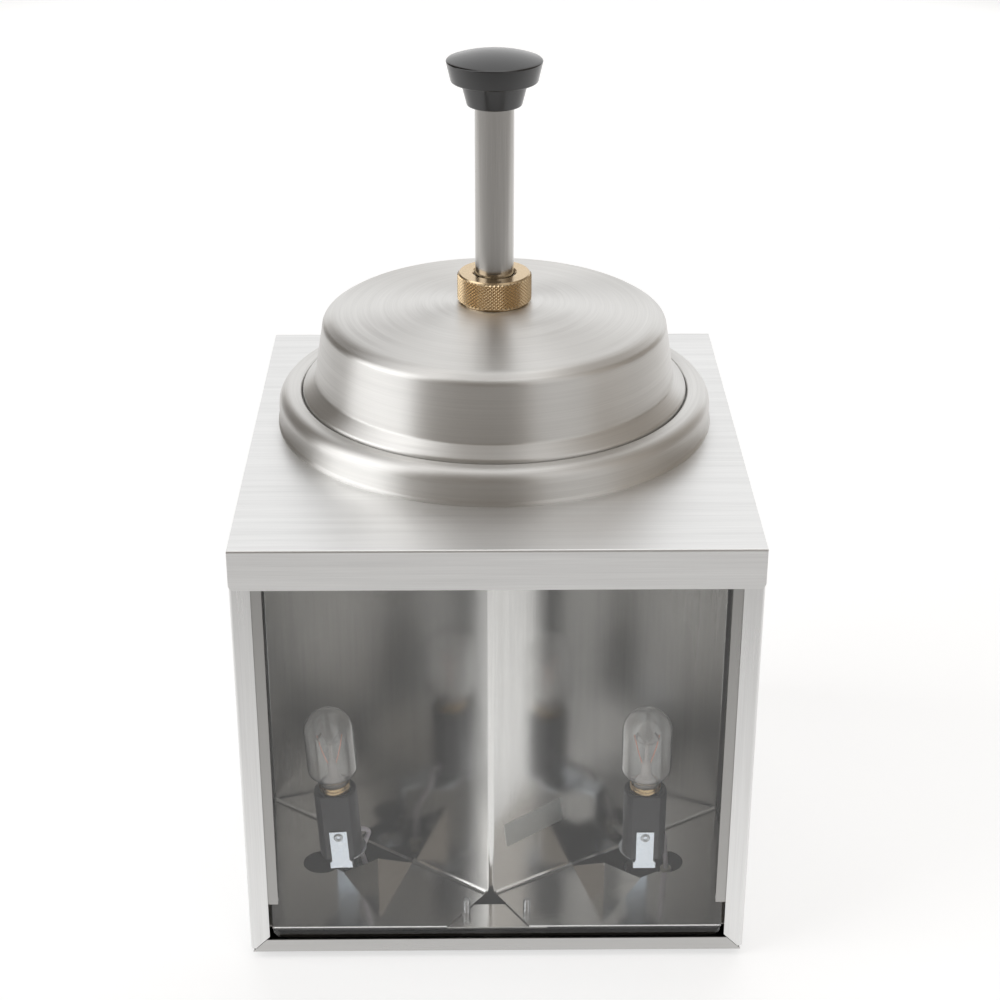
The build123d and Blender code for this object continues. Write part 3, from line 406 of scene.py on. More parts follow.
def paint_inner_shade(look, colour, node):
    """Painted shade inside a folded sheet node: a darker colour on every face that looks inward."""
    low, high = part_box(node)
    apart = look.node("ShaderNodeSeparateXYZ")
    look.link(look.place, apart.inputs[0])
    x, y, z = apart.outputs
    skin = 0.6 * MM  # how deep the bright outer side goes
    across = look.math("LESS_THAN", look.math("ABSOLUTE", x), high.x - skin)
    forward = look.math("GREATER_THAN", y, low.y + skin)
    rearward = look.math("LESS_THAN", y, high.y - skin)
    # the inward faces, where the darker colour paints shade
    shade_mask = look.math("MULTIPLY", look.math("MULTIPLY", across, forward), rearward)
    mix = look.node("ShaderNodeMix", data_type="RGBA")
    base = look.shader.inputs["Base Color"]
    plain, shaded = [socket for socket in mix.inputs if socket.type == "RGBA"]
    look.link(base.links[0].from_socket, plain)
    shaded.default_value = (*colour, 1)
    look.link(shade_mask, mix.inputs["Factor"])
    look.link(next(socket for socket in mix.outputs if socket.type == "RGBA"), base)


def ring_coordinates(look, around, outward):
    """Coordinates for marks that run in circles round the pump's axis."""
    shift = look.node("ShaderNodeVectorMath", operation="SUBTRACT")
    shift.inputs[1].default_value = (PUMP.x, PUMP.y, 0)
    look.link(look.place, shift.inputs[0])
    apart = look.node("ShaderNodeSeparateXYZ")
    look.link(shift.outputs[0], apart.inputs[0])
    x, y, z = apart.outputs
    flat = look.math("ADD", look.math("MULTIPLY", x, x), look.math("MULTIPLY", y, y))
    smallest = 0.5 * MM
    radius = look.math("MAXIMUM", look.math("SQRT", flat), smallest)
    joined = look.node("ShaderNodeCombineXYZ")
    look.link(look.math("MULTIPLY", look.math("DIVIDE", x, radius), around), joined.inputs[0])
    look.link(look.math("MULTIPLY", look.math("DIVIDE", y, radius), around), joined.inputs[1])
    look.link(look.math("MULTIPLY", look.math("SUBTRACT", radius, z), outward), joined.inputs[2])
    return joined.outputs[0]


def spun(name, colour, roughness, depth=0.0022, swing=0.05, tint=0.9, anisotropic=0.85):
    """Spun stainless: fine circular grooves round the pump's axis."""
    look = Look(name, colour, roughness, metallic=1.0)
    look.put(Anisotropic=anisotropic, Anisotropic_Rotation=0.25)
    tangent = look.node("ShaderNodeTangent", direction_type="RADIAL", axis="Z")
    look.link(tangent.outputs["Tangent"], look.shader.inputs["Tangent"])
    fine = look.noise(ring_coordinates(look, around=1.2, outward=2400), detail=2.0)
    broad = look.noise(ring_coordinates(look, around=0.9, outward=420), detail=3.0)
    both = look.math("MULTIPLY", look.math("ADD", fine, broad), 0.5)
    look.rough_by(both, swing)
    look.tint_by(both, tuple(c * tint for c in colour))
    look.bump_by(fine, depth)
    return look


def speckled(name, colour, roughness, other, scale=900, swing=0.05, depth=0.004, metallic=0.0, **sockets):
    """A moulded, cast or plated finish with fine mottling."""
    look = Look(name, colour, roughness, metallic).put(**sockets)
    fine = look.noise(look.stretched((scale, scale, scale)), detail=3.0)
    cloud = look.noise(look.stretched((60, 60, 60)), detail=2.0)
    look.rough_by(cloud, swing)
    look.tint_by(fine, other)
    look.bump_by(fine, depth)
    return look


def glassy(name, colour, roughness, smear, clear=1.0, **sockets):
    """Clear glass with faint wipe marks in its polish."""
    look = Look(name, colour, roughness).put(IOR=1.5, Transmission_Weight=clear, **sockets)
    marks = look.noise(look.stretched((30, 30, 8)), detail=4.0)
    look.link(look.ranged(marks, roughness, roughness + smear, 0.45, 0.8), look.shader.inputs["Roughness"])
    look.clear_to_lamps()
    return look


cover_steel = brushed("cover_steel", (0.91, 0.91, 0.905), 0.40, "X", tint=0.86)
wrap_steel = brushed("wrap_steel", (0.81, 0.81, 0.805), 0.30, "Z", tint=0.88)
# painted shade: the cabinet's inner faces darker than its outside
paint_inner_shade(wrap_steel, (0.40, 0.395, 0.385), "cabinet_wrap")
pan_steel = brushed("pan_steel", (0.54, 0.535, 0.525), 0.30, "X")
# painted shade: the base pan's inside near black, standing in for the shaded gap under the chamber floor
paint_inner_shade(pan_steel, (0.05, 0.05, 0.05), "base_pan")
mirror_steel = brushed("mirror_steel", (0.90, 0.89, 0.875), 0.17, "Z", depth=0.0004, swing=0.05, tint=0.88)
mirror_steel.bump_by(mirror_steel.noise(mirror_steel.stretched((16, 16, 5)), detail=1.0), 0.12)
spun_steel = spun("spun_steel", (0.77, 0.76, 0.74), 0.39)
spun_plain = spun("spun_plain", (0.76, 0.76, 0.75), 0.28, anisotropic=0.4)
stem_steel = brushed("stem_steel", (0.52, 0.505, 0.485), 0.2, "Z", depth=0.001, tint=0.8)
zinc_strap = speckled("zinc_strap", (0.80, 0.84, 0.88), 0.24, (0.70, 0.76, 0.84), metallic=1.0, depth=0.002)
zinc_plain = speckled("zinc_plain", (0.66, 0.68, 0.70), 0.34, (0.55, 0.57, 0.60), metallic=1.0, depth=0.003)
screw_steel = speckled("screw_steel", (0.72, 0.73, 0.74), 0.25, (0.55, 0.56, 0.58), metallic=1.0, depth=0.002)
nut_brass = speckled("nut_brass", (0.76, 0.60, 0.39), 0.26, (0.66, 0.50, 0.31), metallic=1.0, depth=0.003)
cap_brass = speckled("cap_brass", (0.62, 0.46, 0.26), 0.28, (0.45, 0.33, 0.2), metallic=1.0, depth=0.002)
socket_black = speckled("socket_black", (0.028, 0.028, 0.032), 0.42, (0.045, 0.045, 0.05), depth=0.01)
knob_black = speckled(
    "knob_black", (0.004, 0.004, 0.0045), 0.16, (0.009, 0.009, 0.01), swing=0.04, depth=0.0006,
    Specular_IOR_Level=0.85
)
switch_black = speckled("switch_black", (0.015, 0.015, 0.016), 0.25, (0.024, 0.024, 0.025), depth=0.004)
rubber_black = speckled("rubber_black", (0.02, 0.02, 0.02), 0.75, (0.035, 0.035, 0.035), depth=0.02)
gasket_white = speckled("gasket_white", (0.72, 0.72, 0.69), 0.55, (0.62, 0.62, 0.6), depth=0.01)
nylon_pale = speckled("nylon_pale", (0.76, 0.73, 0.64), 0.45, (0.70, 0.67, 0.58), depth=0.006)
polymer_white = speckled("polymer_white", (0.80, 0.80, 0.77), 0.4, (0.74, 0.74, 0.71), depth=0.004)
lead_white = speckled("lead_white", (0.74, 0.70, 0.74), 0.45, (0.66, 0.62, 0.68), scale=500, depth=0.01)
label_pale = brushed("label_pale", (0.62, 0.63, 0.62), 0.30, "X", tint=0.88)
heater_dark = speckled("heater_dark", (0.10, 0.095, 0.09), 0.55, (0.16, 0.14, 0.12), metallic=0.7, depth=0.02)
stem_glass = speckled("stem_glass", (0.86, 0.82, 0.79), 0.2, (0.78, 0.70, 0.66), Transmission_Weight=0.45)
tungsten = speckled("tungsten", (0.30, 0.27, 0.25), 0.4, (0.22, 0.2, 0.19), metallic=1.0)
copper_wire = speckled("copper_wire", (0.80, 0.30, 0.16), 0.3, (0.65, 0.22, 0.12), metallic=1.0)
pane_glass = glassy("pane_glass", (0.985, 0.99, 0.988), 0.0, 0.015, Specular_IOR_Level=0.12)
lamp_glass = glassy("lamp_glass", (0.985, 0.985, 0.98), 0.0, 0.02, clear=0.94, Specular_IOR_Level=1.0)
amber_lens = speckled("amber_lens", (0.85, 0.24, 0.03), 0.12, (0.75, 0.18, 0.02), Transmission_Weight=0.5)

NODE_LOOKS = {
    "top_cover": cover_steel,
    "cabinet_wrap": wrap_steel,
    "base_pan": pan_steel,
    "left_window_channel": wrap_steel,
    "right_window_channel": wrap_steel,
    "window_pane": pane_glass,
    "reflector": mirror_steel,
    "reflector_tie_plate": mirror_steel,
    "reflector_screws": screw_steel,
    "reflector_nuts": screw_steel,
    "label_plate": label_pale,
    "lamp_socket_left": socket_black,
    "lamp_socket_right": socket_black,
    "socket_liner_left": cap_brass,
    "socket_liner_right": cap_brass,
    "socket_bracket_left": zinc_strap,
    "socket_bracket_right": zinc_strap,
    "socket_rivets": zinc_plain,
    "bracket_screws": screw_steel,
    "lamp_lead_left": lead_white,
    "lamp_lead_right": lead_white,
    "splice_caps": nylon_pale,
    "lamp_base_left": cap_brass,
    "lamp_base_right": cap_brass,
    "lamp_glass_left": lamp_glass,
    "lamp_glass_right": lamp_glass,
    "lamp_filament_left": stem_glass,
    "lamp_filament_right": stem_glass,
    "water_well": spun_steel,
    "heater_ring": heater_dark,
    "thermostat": zinc_plain,
    "heater_clamp": zinc_plain,
    "heater_studs": screw_steel,
    "heater_nuts": screw_steel,
    "terminal_block": nylon_pale,
    "switch_housing": switch_black,
    "switch_rocker": switch_black,
    "pilot_lamp": amber_lens,
    "cord_gland": switch_black,
    "gland_nut": switch_black,
    "rubber_feet": rubber_black,
    "foot_screws": screw_steel,
    "foot_nuts": screw_steel,
    "food_vessel": spun_plain,
    "lid_dome": spun_steel,
    "barrel_gasket": gasket_white,
    "pump_barrel": stem_steel,
    "stem_bush": polymer_white,
    "valve_body": stem_steel,
    "ball_stop_pins": screw_steel,
    "inlet_ball": screw_steel,
    "outlet_ball": screw_steel,
    "discharge_tube": stem_steel,
    "lock_nut": nut_brass,
    "plunger_stem": stem_steel,
    "piston": polymer_white,
    "piston_seal": rubber_black,
    "knob": knob_black,
    "return_spring": screw_steel,
}


def dress_nodes():
    """Give every CAD node its material."""
    for name, look in NODE_LOOKS.items():
        node = nodes[name]
        node.data.materials.clear()
        node.data.materials.append(look.material)


# ---------------------------------------------------------------- pump top
def build_knob():
    """Turned knob: hub, step, tapered disc and one shallow crown from rim to centre."""
    low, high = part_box("knob")
    height = (high.z - low.z) / MM
    hub, recess, neck, widest = 9.95, 6, 13.9, 24.35
    rim_radius, rim_height = 23.8, 22.9
    outline = rounded(
        [(0, recess), (hub, recess), (hub, 0), (neck, 0), (16.9, 11.5), (22.0, 12.2), (widest, 22.4),
         (rim_radius, rim_height)],
        [0, 0.3, 1.0, 0.4, 1.0, 0.45],
        step=8,
    )
    rise = height - rim_height
    crown = (rim_radius**2 + rise**2) / (2 * rise)
    steps = 24
    for i in range(1, steps + 1):
        x = rim_radius * (1 - i / steps)
        outline.append(Vector((x, height - crown + math.sqrt(crown**2 - x * x))))
    placed = on_pump(low.z)
    made = lathe("knob_turned", outline, placed, "plunger", knob_black.material, angle=40)
    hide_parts("knob")


def build_lock_nut():
    """Brass ring nut with a diamond knurl: staggered four-sided points between crossing grooves."""
    low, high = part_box("lock_nut")
    radius = (high.x - low.x) / 2 / MM
    height = (high.z - low.z) / MM
    diamonds, rows, depth, chamfer = 56, 16, 0.75, 0.7
    columns = 2 * diamonds
    root = radius - depth
    points = []
    for j in range(rows + 1):
        z = chamfer + (height - 2 * chamfer) * j / rows
        for i in range(columns):
            peak = (i + j) % 2 == 1 and 0 < j < rows
            points.append(polar(radius if peak else root, TURN * i / columns, z))
    faces = []
    for j in range(rows):
        for i in range(columns):
            n = (i + 1) % columns
            a, b = j * columns + i, j * columns + n
            c, d = (j + 1) * columns + n, (j + 1) * columns + i
            if (i + j) % 2 == 1:
                faces += [(a, b, d), (b, c, d)]
            else:
                faces += [(a, b, c), (a, c, d)]
    # plain chamfered ends, flat top with its countersunk hole, and the wide bore below it
    edge, bore, roof, hole, sink_radius, sink = 0.6, 17.1, 2.8, 10.9, 11.7, 0.8
    rings = [
        (root, chamfer), (root - edge, 0.0), (bore, 0.0), (bore, height - roof), (hole, height - roof),
        (hole, height - sink), (sink_radius, height), (root - edge, height), (root, height - chamfer),
    ]
    base = len(points)
    for r, z in rings:
        points += [polar(r, TURN * i / columns, z) for i in range(columns)]
    for k in range(len(rings) - 1):
        for i in range(columns):
            n = (i + 1) % columns
            a, b = base + k * columns + i, base + k * columns + n
            faces.append((a, b, b + columns, a + columns))
    mesh = faced_outward(mesh_from("lock_nut_knurled", points, faces), weld=True)
    smooth(mesh, 6)
    made = make_object("lock_nut_knurled", mesh, on_pump(low.z))
    made.data.materials.append(nut_brass.material)
    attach(made, "nut")
    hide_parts("lock_nut")


def build_stem():
    """Drawn tube with a long flat milled on its front."""
    low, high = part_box("plunger_stem")
    radius = (high.x - low.x) / 2 / MM
    height = (high.z - low.z) / MM
    wall, flat_depth, step = 1.5, 0.6, 0.02
    above_nut, below_knob = 1.8, 1.0
    flat_low = (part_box("lock_nut")[1].z - low.z) / MM + above_nut
    flat_high = (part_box("knob")[0].z - low.z) / MM - below_knob
    flat_reach = radius - flat_depth

    def flatted(angle, level):
        forward = -math.sin(angle) * radius
        if forward <= flat_reach or not flat_low < level < flat_high:
            return 0.0
        return flat_reach / -math.sin(angle) - radius

    ends = (0, flat_low, flat_low + step, flat_high - step, flat_high, height)
    outline = [(radius - wall, 0)] + [(radius, z) for z in ends] + [(radius - wall, height)]
    made = lathe(
        "plunger_stem_drawn", outline, on_pump(low.z), "plunger", stem_steel.material, 180,
        closed=True, angle=9, shift=flatted
    )
    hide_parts("plunger_stem")


def build_spring():
    """Return spring with closed ends, under the plunger."""
    low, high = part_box("return_spring")
    wire = 0.9 * MM  # its radius
    coil = (high.x - low.x) / 2 - wire
    length = high.z - low.z
    turns, steps = 12, 16
    route = []
    for i in range((turns + 2) * steps + 1):
        open_turn = min(max(i / steps - 1, 0), turns)
        height = low.z + wire + (length - 2 * wire) * open_turn / turns
        angle = TURN * i / steps
        route.append(Vector((PUMP.x + coil * math.cos(angle), PUMP.y + coil * math.sin(angle), height)))
    made = tube("return_spring_wound", route, wire / MM, "plunger", screw_steel.material, 2)
    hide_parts("return_spring")
    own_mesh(made)


# ---------------------------------------------------------------- lid and collar
def build_lid():
    """Spun lid: shallow cone, crisp shoulder, leaning skirt, stepped foot and the discharge tube's hole."""
    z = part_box("lid_dome")[0].z / MM
    path = rounded(
        [(101.7, z), (101.7, z + 3.5), (95.0, z + 9.5), (90.1, z + 39.7), (84.0, z + 43.5), (40.0, z + 48.5),
         (25.0, z + 49.5), (17.2, z + 49.5)],
        [2.4, 2.5, 4.5, 12.0, 40.0, 8.0],
        step=4,
    )
    made = lathe(
        "lid_spun", walled(path, SPUN_SHEET), PUMP_AXIS, "pump_lid", spun_steel.material, 256,
        closed=True
    )
    # hole in the rear of the skirt for the discharge tube
    tube_radius, hole, reach = 10, 10.05, 60
    tube_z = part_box("discharge_tube")[1].z - tube_radius * MM
    cutter_mesh = lathe_mesh("cutter", [(0, 0), (hole, 0), (hole, reach), (0, reach)], 64)
    placed = Matrix.Translation((PUMP.x, PUMP.y + reach * MM, tube_z)) @ Matrix.Rotation(-TURN / 4, 4, "X")
    cutter = make_object("cutter", cutter_mesh, placed)
    cut = made.modifiers.new("tube_hole", "BOOLEAN")
    cut.object = cutter
    cut.operation = "DIFFERENCE"
    cut.solver = "EXACT"
    bpy.context.view_layer.update()
    finished = bpy.data.meshes.new_from_object(made.evaluated_get(bpy.context.evaluated_depsgraph_get()))
    made.modifiers.clear()
    made.data = finished
    smooth(made.data)
    bpy.data.objects.remove(cutter)
    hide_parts("lid_dome")


def build_well():
    """Spun water well with its raised collar."""
    z = TOP_Z / MM
    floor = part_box("water_well")[0].z / MM + SPUN_SHEET
    path = rounded(
        [(115.2, z), (115.2, z + 1.2), (114.5, z + 2.4), (114.5, z + 18.0), (102.5, z + 17.4),
         (102.5, z + 13.6), (97.0, z + 13.6), (97.0, floor), (0, floor)],
        [1.2, 1.5, 7.5, 1.2, 0.9, 1.2, 10.0],
        step=6,
    )
    made = lathe(
        "well_spun", walled(path, SPUN_SHEET), PUMP_AXIS, "housing", spun_steel.material, 256,
        closed=True
    )
    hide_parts("water_well")


# ---------------------------------------------------------------- lamps
def build_lamp(side):
    """Tubular lamp: brass cap, clear envelope, glass mount, wires and filament."""
    placed = joint_frame(f"bulb_{side}_turn")
    body = f"bulb_{side}"
    # brass cap: rolled thread below, plain collar above
    radius, thread_step, thread_points = 7.5, 0.3, 46
    thread = rolled_thread(pitch=1.9, depth=0.32, low=28.5, high=42.0)
    wall = [(0, 23.8), (2.2, 23.8), (2.6, 24.4), (2.6, 25.2), (5.6, 27.4), (7.2, 28.4)]
    wall += [(radius, 28.6 + thread_step * i) for i in range(thread_points)]
    wall += [(radius, 43.6), (7.9, 44.2), (7.95, 45.4), (7.75, 45.8), (7.95, 46.2), (7.9, 47.4), (7.6, 47.6),
             (7.4, 47.2), (7.4, 45.0)]
    made = lathe(f"lamp_cap_{side}", wall, placed, body, cap_brass.material, 72, shift=thread)
    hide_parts(f"lamp_base_{side}")

    # clear envelope, hollow, with a full round end
    glass_wall = 0.5
    glass_path = rounded(
        [(7.0, 45.2), (7.0, 48.6), (12.7, 54.6), (12.7, 90.0), (0.0, 90.0)], [2.2, 6.0, 12.0], step=6
    )
    envelope = walled(glass_path, glass_wall)
    made = lathe(
        f"lamp_envelope_{side}", envelope, placed, body, lamp_glass.material, 96, closed=True,
        angle=60
    )
    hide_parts(f"lamp_glass_{side}")

    # glass mount: flared foot, pinched stem and a small button at its top
    mount = rounded(
        [(0, 45.4), (5.9, 45.4), (5.4, 48.4), (2.7, 52.5), (2.3, 59.0), (1.1, 61.0), (0.9, 69.0), (1.6, 70.2),
         (0.9, 71.4), (0, 71.4)],
        [0.4, 1.5, 2.5, 1.0, 1.0, 0.5, 0.6, 0.4],
    )
    made = lathe(f"lamp_mount_{side}", mount, placed, body, stem_glass.material, 48)
    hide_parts(f"lamp_filament_{side}")

    # lead-in wires, hooked supports and the coiled filament hung between them
    lead_wire, support_wire, coil_wire = 0.28, 0.16, 0.12
    end_x, end_y, end_z = 6.4, 1.6, 74.5

    def at(x, y, z):
        return placed @ Vector((x * MM, y * MM, z * MM))

    for name, sign in (("a", -1), ("b", 1)):
        route = [at(sign * 1.2, 0, 50), at(sign * 1.6, 0, 58), at(sign * 3.2, 0.4 * sign, 62)]
        route += [at(sign * 5.6, 0.6, 71), at(sign * end_x, end_y, end_z)]
        tube(f"lamp_wire_{side}_{name}", route, lead_wire, body, copper_wire.material, 3)
    supports, hook_radius, hook_height, stagger = 5, 6.6, 74.0, 1.2
    hooks = []
    for k in range(supports):
        angle = TURN * (0.62 + 0.76 * k / (supports - 1))
        x, y = hook_radius * math.sin(angle), -hook_radius * math.cos(angle)
        z = hook_height + stagger * (k % 2)
        hooks.append((x, y, z))
        route = [at(0, 0, 70.4), at(x * 0.4, y * 0.4, 70.8), at(x * 0.8, y * 0.8, 72.6), at(x, y, z)]
        tube(f"lamp_support_{side}_{k}", route, support_wire, body, tungsten.material, 2)
    ends = [(end_x, end_y, end_z)] + hooks[::-1] + [(-end_x, end_y, end_z)]
    turns_each, points_a_turn, coil, droop = 9, 6, 0.42, 1.1
    steps = turns_each * points_a_turn
    up = Vector((0, 0, 1))
    route = []
    for first, second in zip(ends, ends[1:]):
        first, second = Vector(first), Vector(second)
        along = (second - first).normalized()
        outward = along.cross(up).normalized()
        for k in range(steps):
            part = k / steps
            sag = -droop * math.sin(math.pi * part)
            turn = TURN * turns_each * part
            spot = first.lerp(second, part) + up * sag
            spot += (outward * math.cos(turn) + up * math.sin(turn)) * coil
            route.append(at(*spot))
    tube(f"lamp_coil_{side}", route, coil_wire, body, tungsten.material, 1)


def build_socket(side):
    """Black moulded shell: round with two flats, eased edges and an open bore."""
    placed = joint_frame(f"bulb_{side}_turn")
    radius, flat, low, high = 11.0, 8.5, 5.5, 43.5
    bore, bore_floor, arc_steps = 8.05, 23.5, 24
    half = math.acos(flat / radius)
    sweep = math.pi - 2 * half
    outline = []
    for start in (half + math.pi, half):
        for k in range(arc_steps + 1):
            angle = start + sweep * k / arc_steps - math.pi / 2
            outline.append((radius * math.cos(angle), radius * math.sin(angle)))
    count = len(outline)
    levels = [(low, 0.0), (low + 0.01, 0.0), (high - 0.9, 0.0), (high - 0.3, 0.25), (high, 0.9)]
    points = []
    for z, inset in levels:
        shrink = 1 - inset / radius
        points += [(x * shrink, y * shrink, z) for x, y in outline]
    inner_levels = [(high, bore + 0.3), (high - 0.4, bore), (bore_floor, bore)]
    for z, r in inner_levels:
        points += [polar(r, math.atan2(y, x), z) for x, y in outline]
    faces = [tuple(reversed(range(count)))]
    total = len(levels) + len(inner_levels)
    for k in range(total - 1):
        for i in range(count):
            n = (i + 1) % count
            faces.append((k * count + i, k * count + n, (k + 1) * count + n, (k + 1) * count + i))
    faces.append(tuple((total - 1) * count + i for i in range(count)))
    mesh = faced_outward(mesh_from(f"socket_shell_{side}", points, faces))
    smooth(mesh, 25)
    made = make_object(f"socket_shell_{side}", mesh, placed)
    made.data.materials.append(socket_black.material)
    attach(made, "housing")
    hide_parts(f"lamp_socket_{side}")


def build_strap(side):
    """Plated strap folded from one strip: foot, leg, shelf with its round pad, and front plate."""
    placed = joint_frame(f"bulb_{side}_turn")
    origin = placed.translation
    low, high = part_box(f"socket_bracket_{side}")
    thick, half, neck, flat = 1.2, 5.8, 4.6, 8.5
    plate_height, foot_length, rivet_height, arc_steps = 23.0, 13.0, 19.5, 20
    upended = Matrix.Rotation(TURN / 4, 4, "X")
    pieces = []
    # front plate, leaning with the lamp
    plate = [(-half, 0.6), (half, 0.6), (half, 4.4), (neck + 0.5, 4.5), (neck, 5.2), (neck, plate_height)]
    plate += [(-neck, plate_height), (-neck, 5.2), (-neck - 0.5, 4.5), (-half, 4.4)]
    upright = placed @ Matrix.Translation((0, -flat * MM, 0)) @ upended
    pieces.append((slab_mesh("plate", plate, thick), upright))
    # shelf: strip along Y with a round pad behind the plate
    pad_radius, pad_back = 12.0, 9.0
    leg_y = (high.y - origin.y) / MM - foot_length
    start = math.asin(half / pad_radius)
    shelf = [(half, -flat - thick + 0.8), (half, pad_back - pad_radius * math.cos(start))]
    for k in range(1, arc_steps):
        angle = start + (math.pi - 2 * start) * k / arc_steps
        shelf.append((pad_radius * math.sin(angle), pad_back - pad_radius * math.cos(angle)))
    shelf += [(half, pad_back + pad_radius * math.cos(start)), (half, leg_y)]
    shelf += [(-x, y) for x, y in reversed(shelf)]
    pieces.append((slab_mesh("shelf", shelf, thick), Matrix.Translation(origin)))
    # leg and foot
    leg_height = (origin.z - low.z) / MM
    leg = [(-half, -leg_height), (half, -leg_height), (half, thick * 0.5), (-half, thick * 0.5)]
    behind = Matrix.Translation(origin + Vector((0, leg_y * MM, 0))) @ upended
    pieces.append((slab_mesh("leg", leg, thick), behind))
    foot = rounded([(-half, -0.6), (-half, foot_length), (half, foot_length), (half, -0.6)], [2.0, 2.0])
    under = Matrix.Translation((origin.x, origin.y + leg_y * MM, low.z))
    pieces.append((slab_mesh("foot", [tuple(p) for p in foot], thick), under))
    joined = bmesh.new()
    for mesh, matrix in pieces:
        mesh.transform(matrix)
        joined.from_mesh(mesh)
    mesh = bpy.data.meshes.new(f"socket_strap_{side}")
    joined.to_mesh(mesh)
    joined.free()
    made = make_object(f"socket_strap_{side}", mesh)
    made.data.materials.append(zinc_strap.material)
    eased(made, 0.28)
    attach(made, "housing")
    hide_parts(f"socket_bracket_{side}")
    # hollow rivet through the plate
    head = placed @ Matrix.Translation((0, -(flat + thick) * MM, rivet_height * MM)) @ upended
    outline = rounded(
        [(0, -1.0), (0.95, -1.0), (1.05, 0.45), (1.5, 0.85), (2.1, 0.6), (2.45, 0.0), (2.45, -0.1),
         (1.5, -0.1), (1.5, -5.0), (0, -5.0)],
        [0.1, 0.3, 0.4, 0.4, 0, 0, 0, 0],
    )
    return lathe(f"strap_rivet_{side}", outline, head, "housing", zinc_plain.material, 48)


def build_lamps():
    """Both lamps with their sockets and straps. One rivet stands for the CAD node of both."""
    for side in ("left", "right"):
        build_lamp(side)
        build_socket(side)
        build_strap(side)
    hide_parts("socket_rivets")


# ---------------------------------------------------------------- chamber floor
def build_folds():
    """Soft inner bends where the reflector's wings turn into the floor, each side of the lamp's cut-out."""
    side_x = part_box("reflector")[1].x - SKIN
    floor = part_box("reflector_tie_plate")[1].z + SKIN
    vertex = Vector((VERTEX_X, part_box("top_cover")[0].y + VERTEX_BACK, floor))
    sunk, arc_steps, ridge_gap = 0.1, 8, 3.2 * MM
    bend = [(-sunk, -sunk), (FOLD_R, -sunk)]
    for k in range(arc_steps + 1):
        turn = TURN / 4 * k / arc_steps
        bend.append((FOLD_R * (1 - math.sin(turn)), FOLD_R * (1 - math.cos(turn))))
    bend.append((-sunk, FOLD_R))
    count = len(bend)
    faces = [tuple(range(count)), tuple(reversed(range(count, 2 * count)))]
    for i in range(count):
        n = (i + 1) % count
        faces.append((i, n, count + n, count + i))
    for side, angle in WINGS.items():
        sign = -1 if side == "left" else 1
        along = Vector((sign * math.cos(angle), math.sin(angle), 0))
        out = Vector((sign * math.sin(angle), -math.cos(angle), 0))
        end = (side_x - sign * VERTEX_X) / math.cos(angle)
        for place, (first, last) in enumerate(((ridge_gap, CUTOUT[0]), (CUTOUT[1], end))):
            points = []
            for reach in (first, last):
                points += [vertex + along * reach + out * (x * MM) + Vector((0, 0, z * MM)) for x, z in bend]
            mesh = bpy.data.meshes.new(f"wing_fold_{side}_{place}")
            mesh.from_pydata(points, [], faces)
            smooth(faced_outward(mesh), 30)
            made = make_object(mesh.name, mesh)
            made.data.materials.append(mirror_steel.material)
            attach(made, "housing")


# ---------------------------------------------------------------- small hardware
def build_floor_screws():
    """The reflector's two screws, with a rolled thread and a chamfered tip."""
    low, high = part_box("reflector_screws")
    radius, head_radius, pitch, plain, tip, samples = 2.0, 3.6, 0.8, 6, 0.6, 6
    length = (high.z - low.z) / MM
    spread = (high.x - low.x) / 2 / MM - head_radius
    thread = rolled_thread(pitch, depth=0.3, low=plain, high=length - tip)
    outline = rounded([(0, 0), (head_radius, 0), (head_radius, 1.4), (radius, 2.2)], [0.5, 0.3])
    count = int((length - (plain + tip)) / pitch * samples)
    outline += [(radius, plain + pitch / samples * i) for i in range(count)]
    outline += [(radius - 0.2, length - 0.5), (radius - 0.7, length), (0, length)]
    first = None
    for side, sign in (("left", -1), ("right", 1)):
        centre_x = (low.x + high.x) / 2 + sign * spread * MM
        placed = Matrix.Translation((centre_x, (low.y + high.y) / 2, low.z))
        made = lathe(
            f"floor_screw_{side}", outline, placed, "housing", screw_steel.material, 40,
            shift=thread
        )
        first = first or made
    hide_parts("reflector_screws")


# ---------------------------------------------------------------- floor, light and camera
def build_stage():
    """A pale table that glows: brighter round the object and behind it, dimmer towards the camera."""
    floor = Look("studio_floor", (0.5, 0.5, 0.5), 0.7)
    floor.put(Emission_Color=(1, 1, 1, 1), Specular_IOR_Level=0.2)
    floor.bump_by(floor.noise(floor.stretched((40, 40, 40))), 0.05)
    away = floor.node("ShaderNodeVectorMath", operation="DISTANCE")
    floor.link(floor.place, away.inputs[0])
    away.inputs[1].default_value = (0, 1.0, 0)
    bright, dim, near, far = 0.66, 0.14, 1.22, 1.7
    glow = floor.ranged(away.outputs["Value"], bright, dim, near, far)
    floor.link(glow, floor.shader.inputs["Emission Strength"])
    half = 4.0
    corners = [(-half, -half, 0), (half, -half, 0), (half, half, 0), (-half, half, 0)]
    mesh = bpy.data.meshes.new("studio_floor")
    mesh.from_pydata(corners, [], [(0, 1, 2, 3)])
    made = make_object("studio_floor", mesh)
    made.data.materials.append(floor.material)


def area_light(name, place, target, width, height, power):
    """A rectangular white light that faces its target."""
    light = bpy.data.lights.new(name, "AREA")
    light.shape = "RECTANGLE"
    light.size = width
    light.size_y = height
    light.energy = power
    made = bpy.data.objects.new(name, light)
    made.location = place
    made.rotation_euler = (Vector(target) - Vector(place)).to_track_quat("-Z", "Y").to_euler()
    bpy.context.scene.collection.objects.link(made)


# room brightness round the horizon: degrees clockwise from straight behind the camera, and strength
HORIZON = (
    (-180, 1.0), (-158, 1.0), (-147, 0.12), (-107, 0.12), (-98, 2.0), (-60, 1.8), (-46, 0.20), (15, 0.16),
    (27, 0.74), (56, 0.74), (70, 0.46), (88, 0.42), (98, 0.26), (132, 0.30), (147, 1.0), (180, 1.0),
)


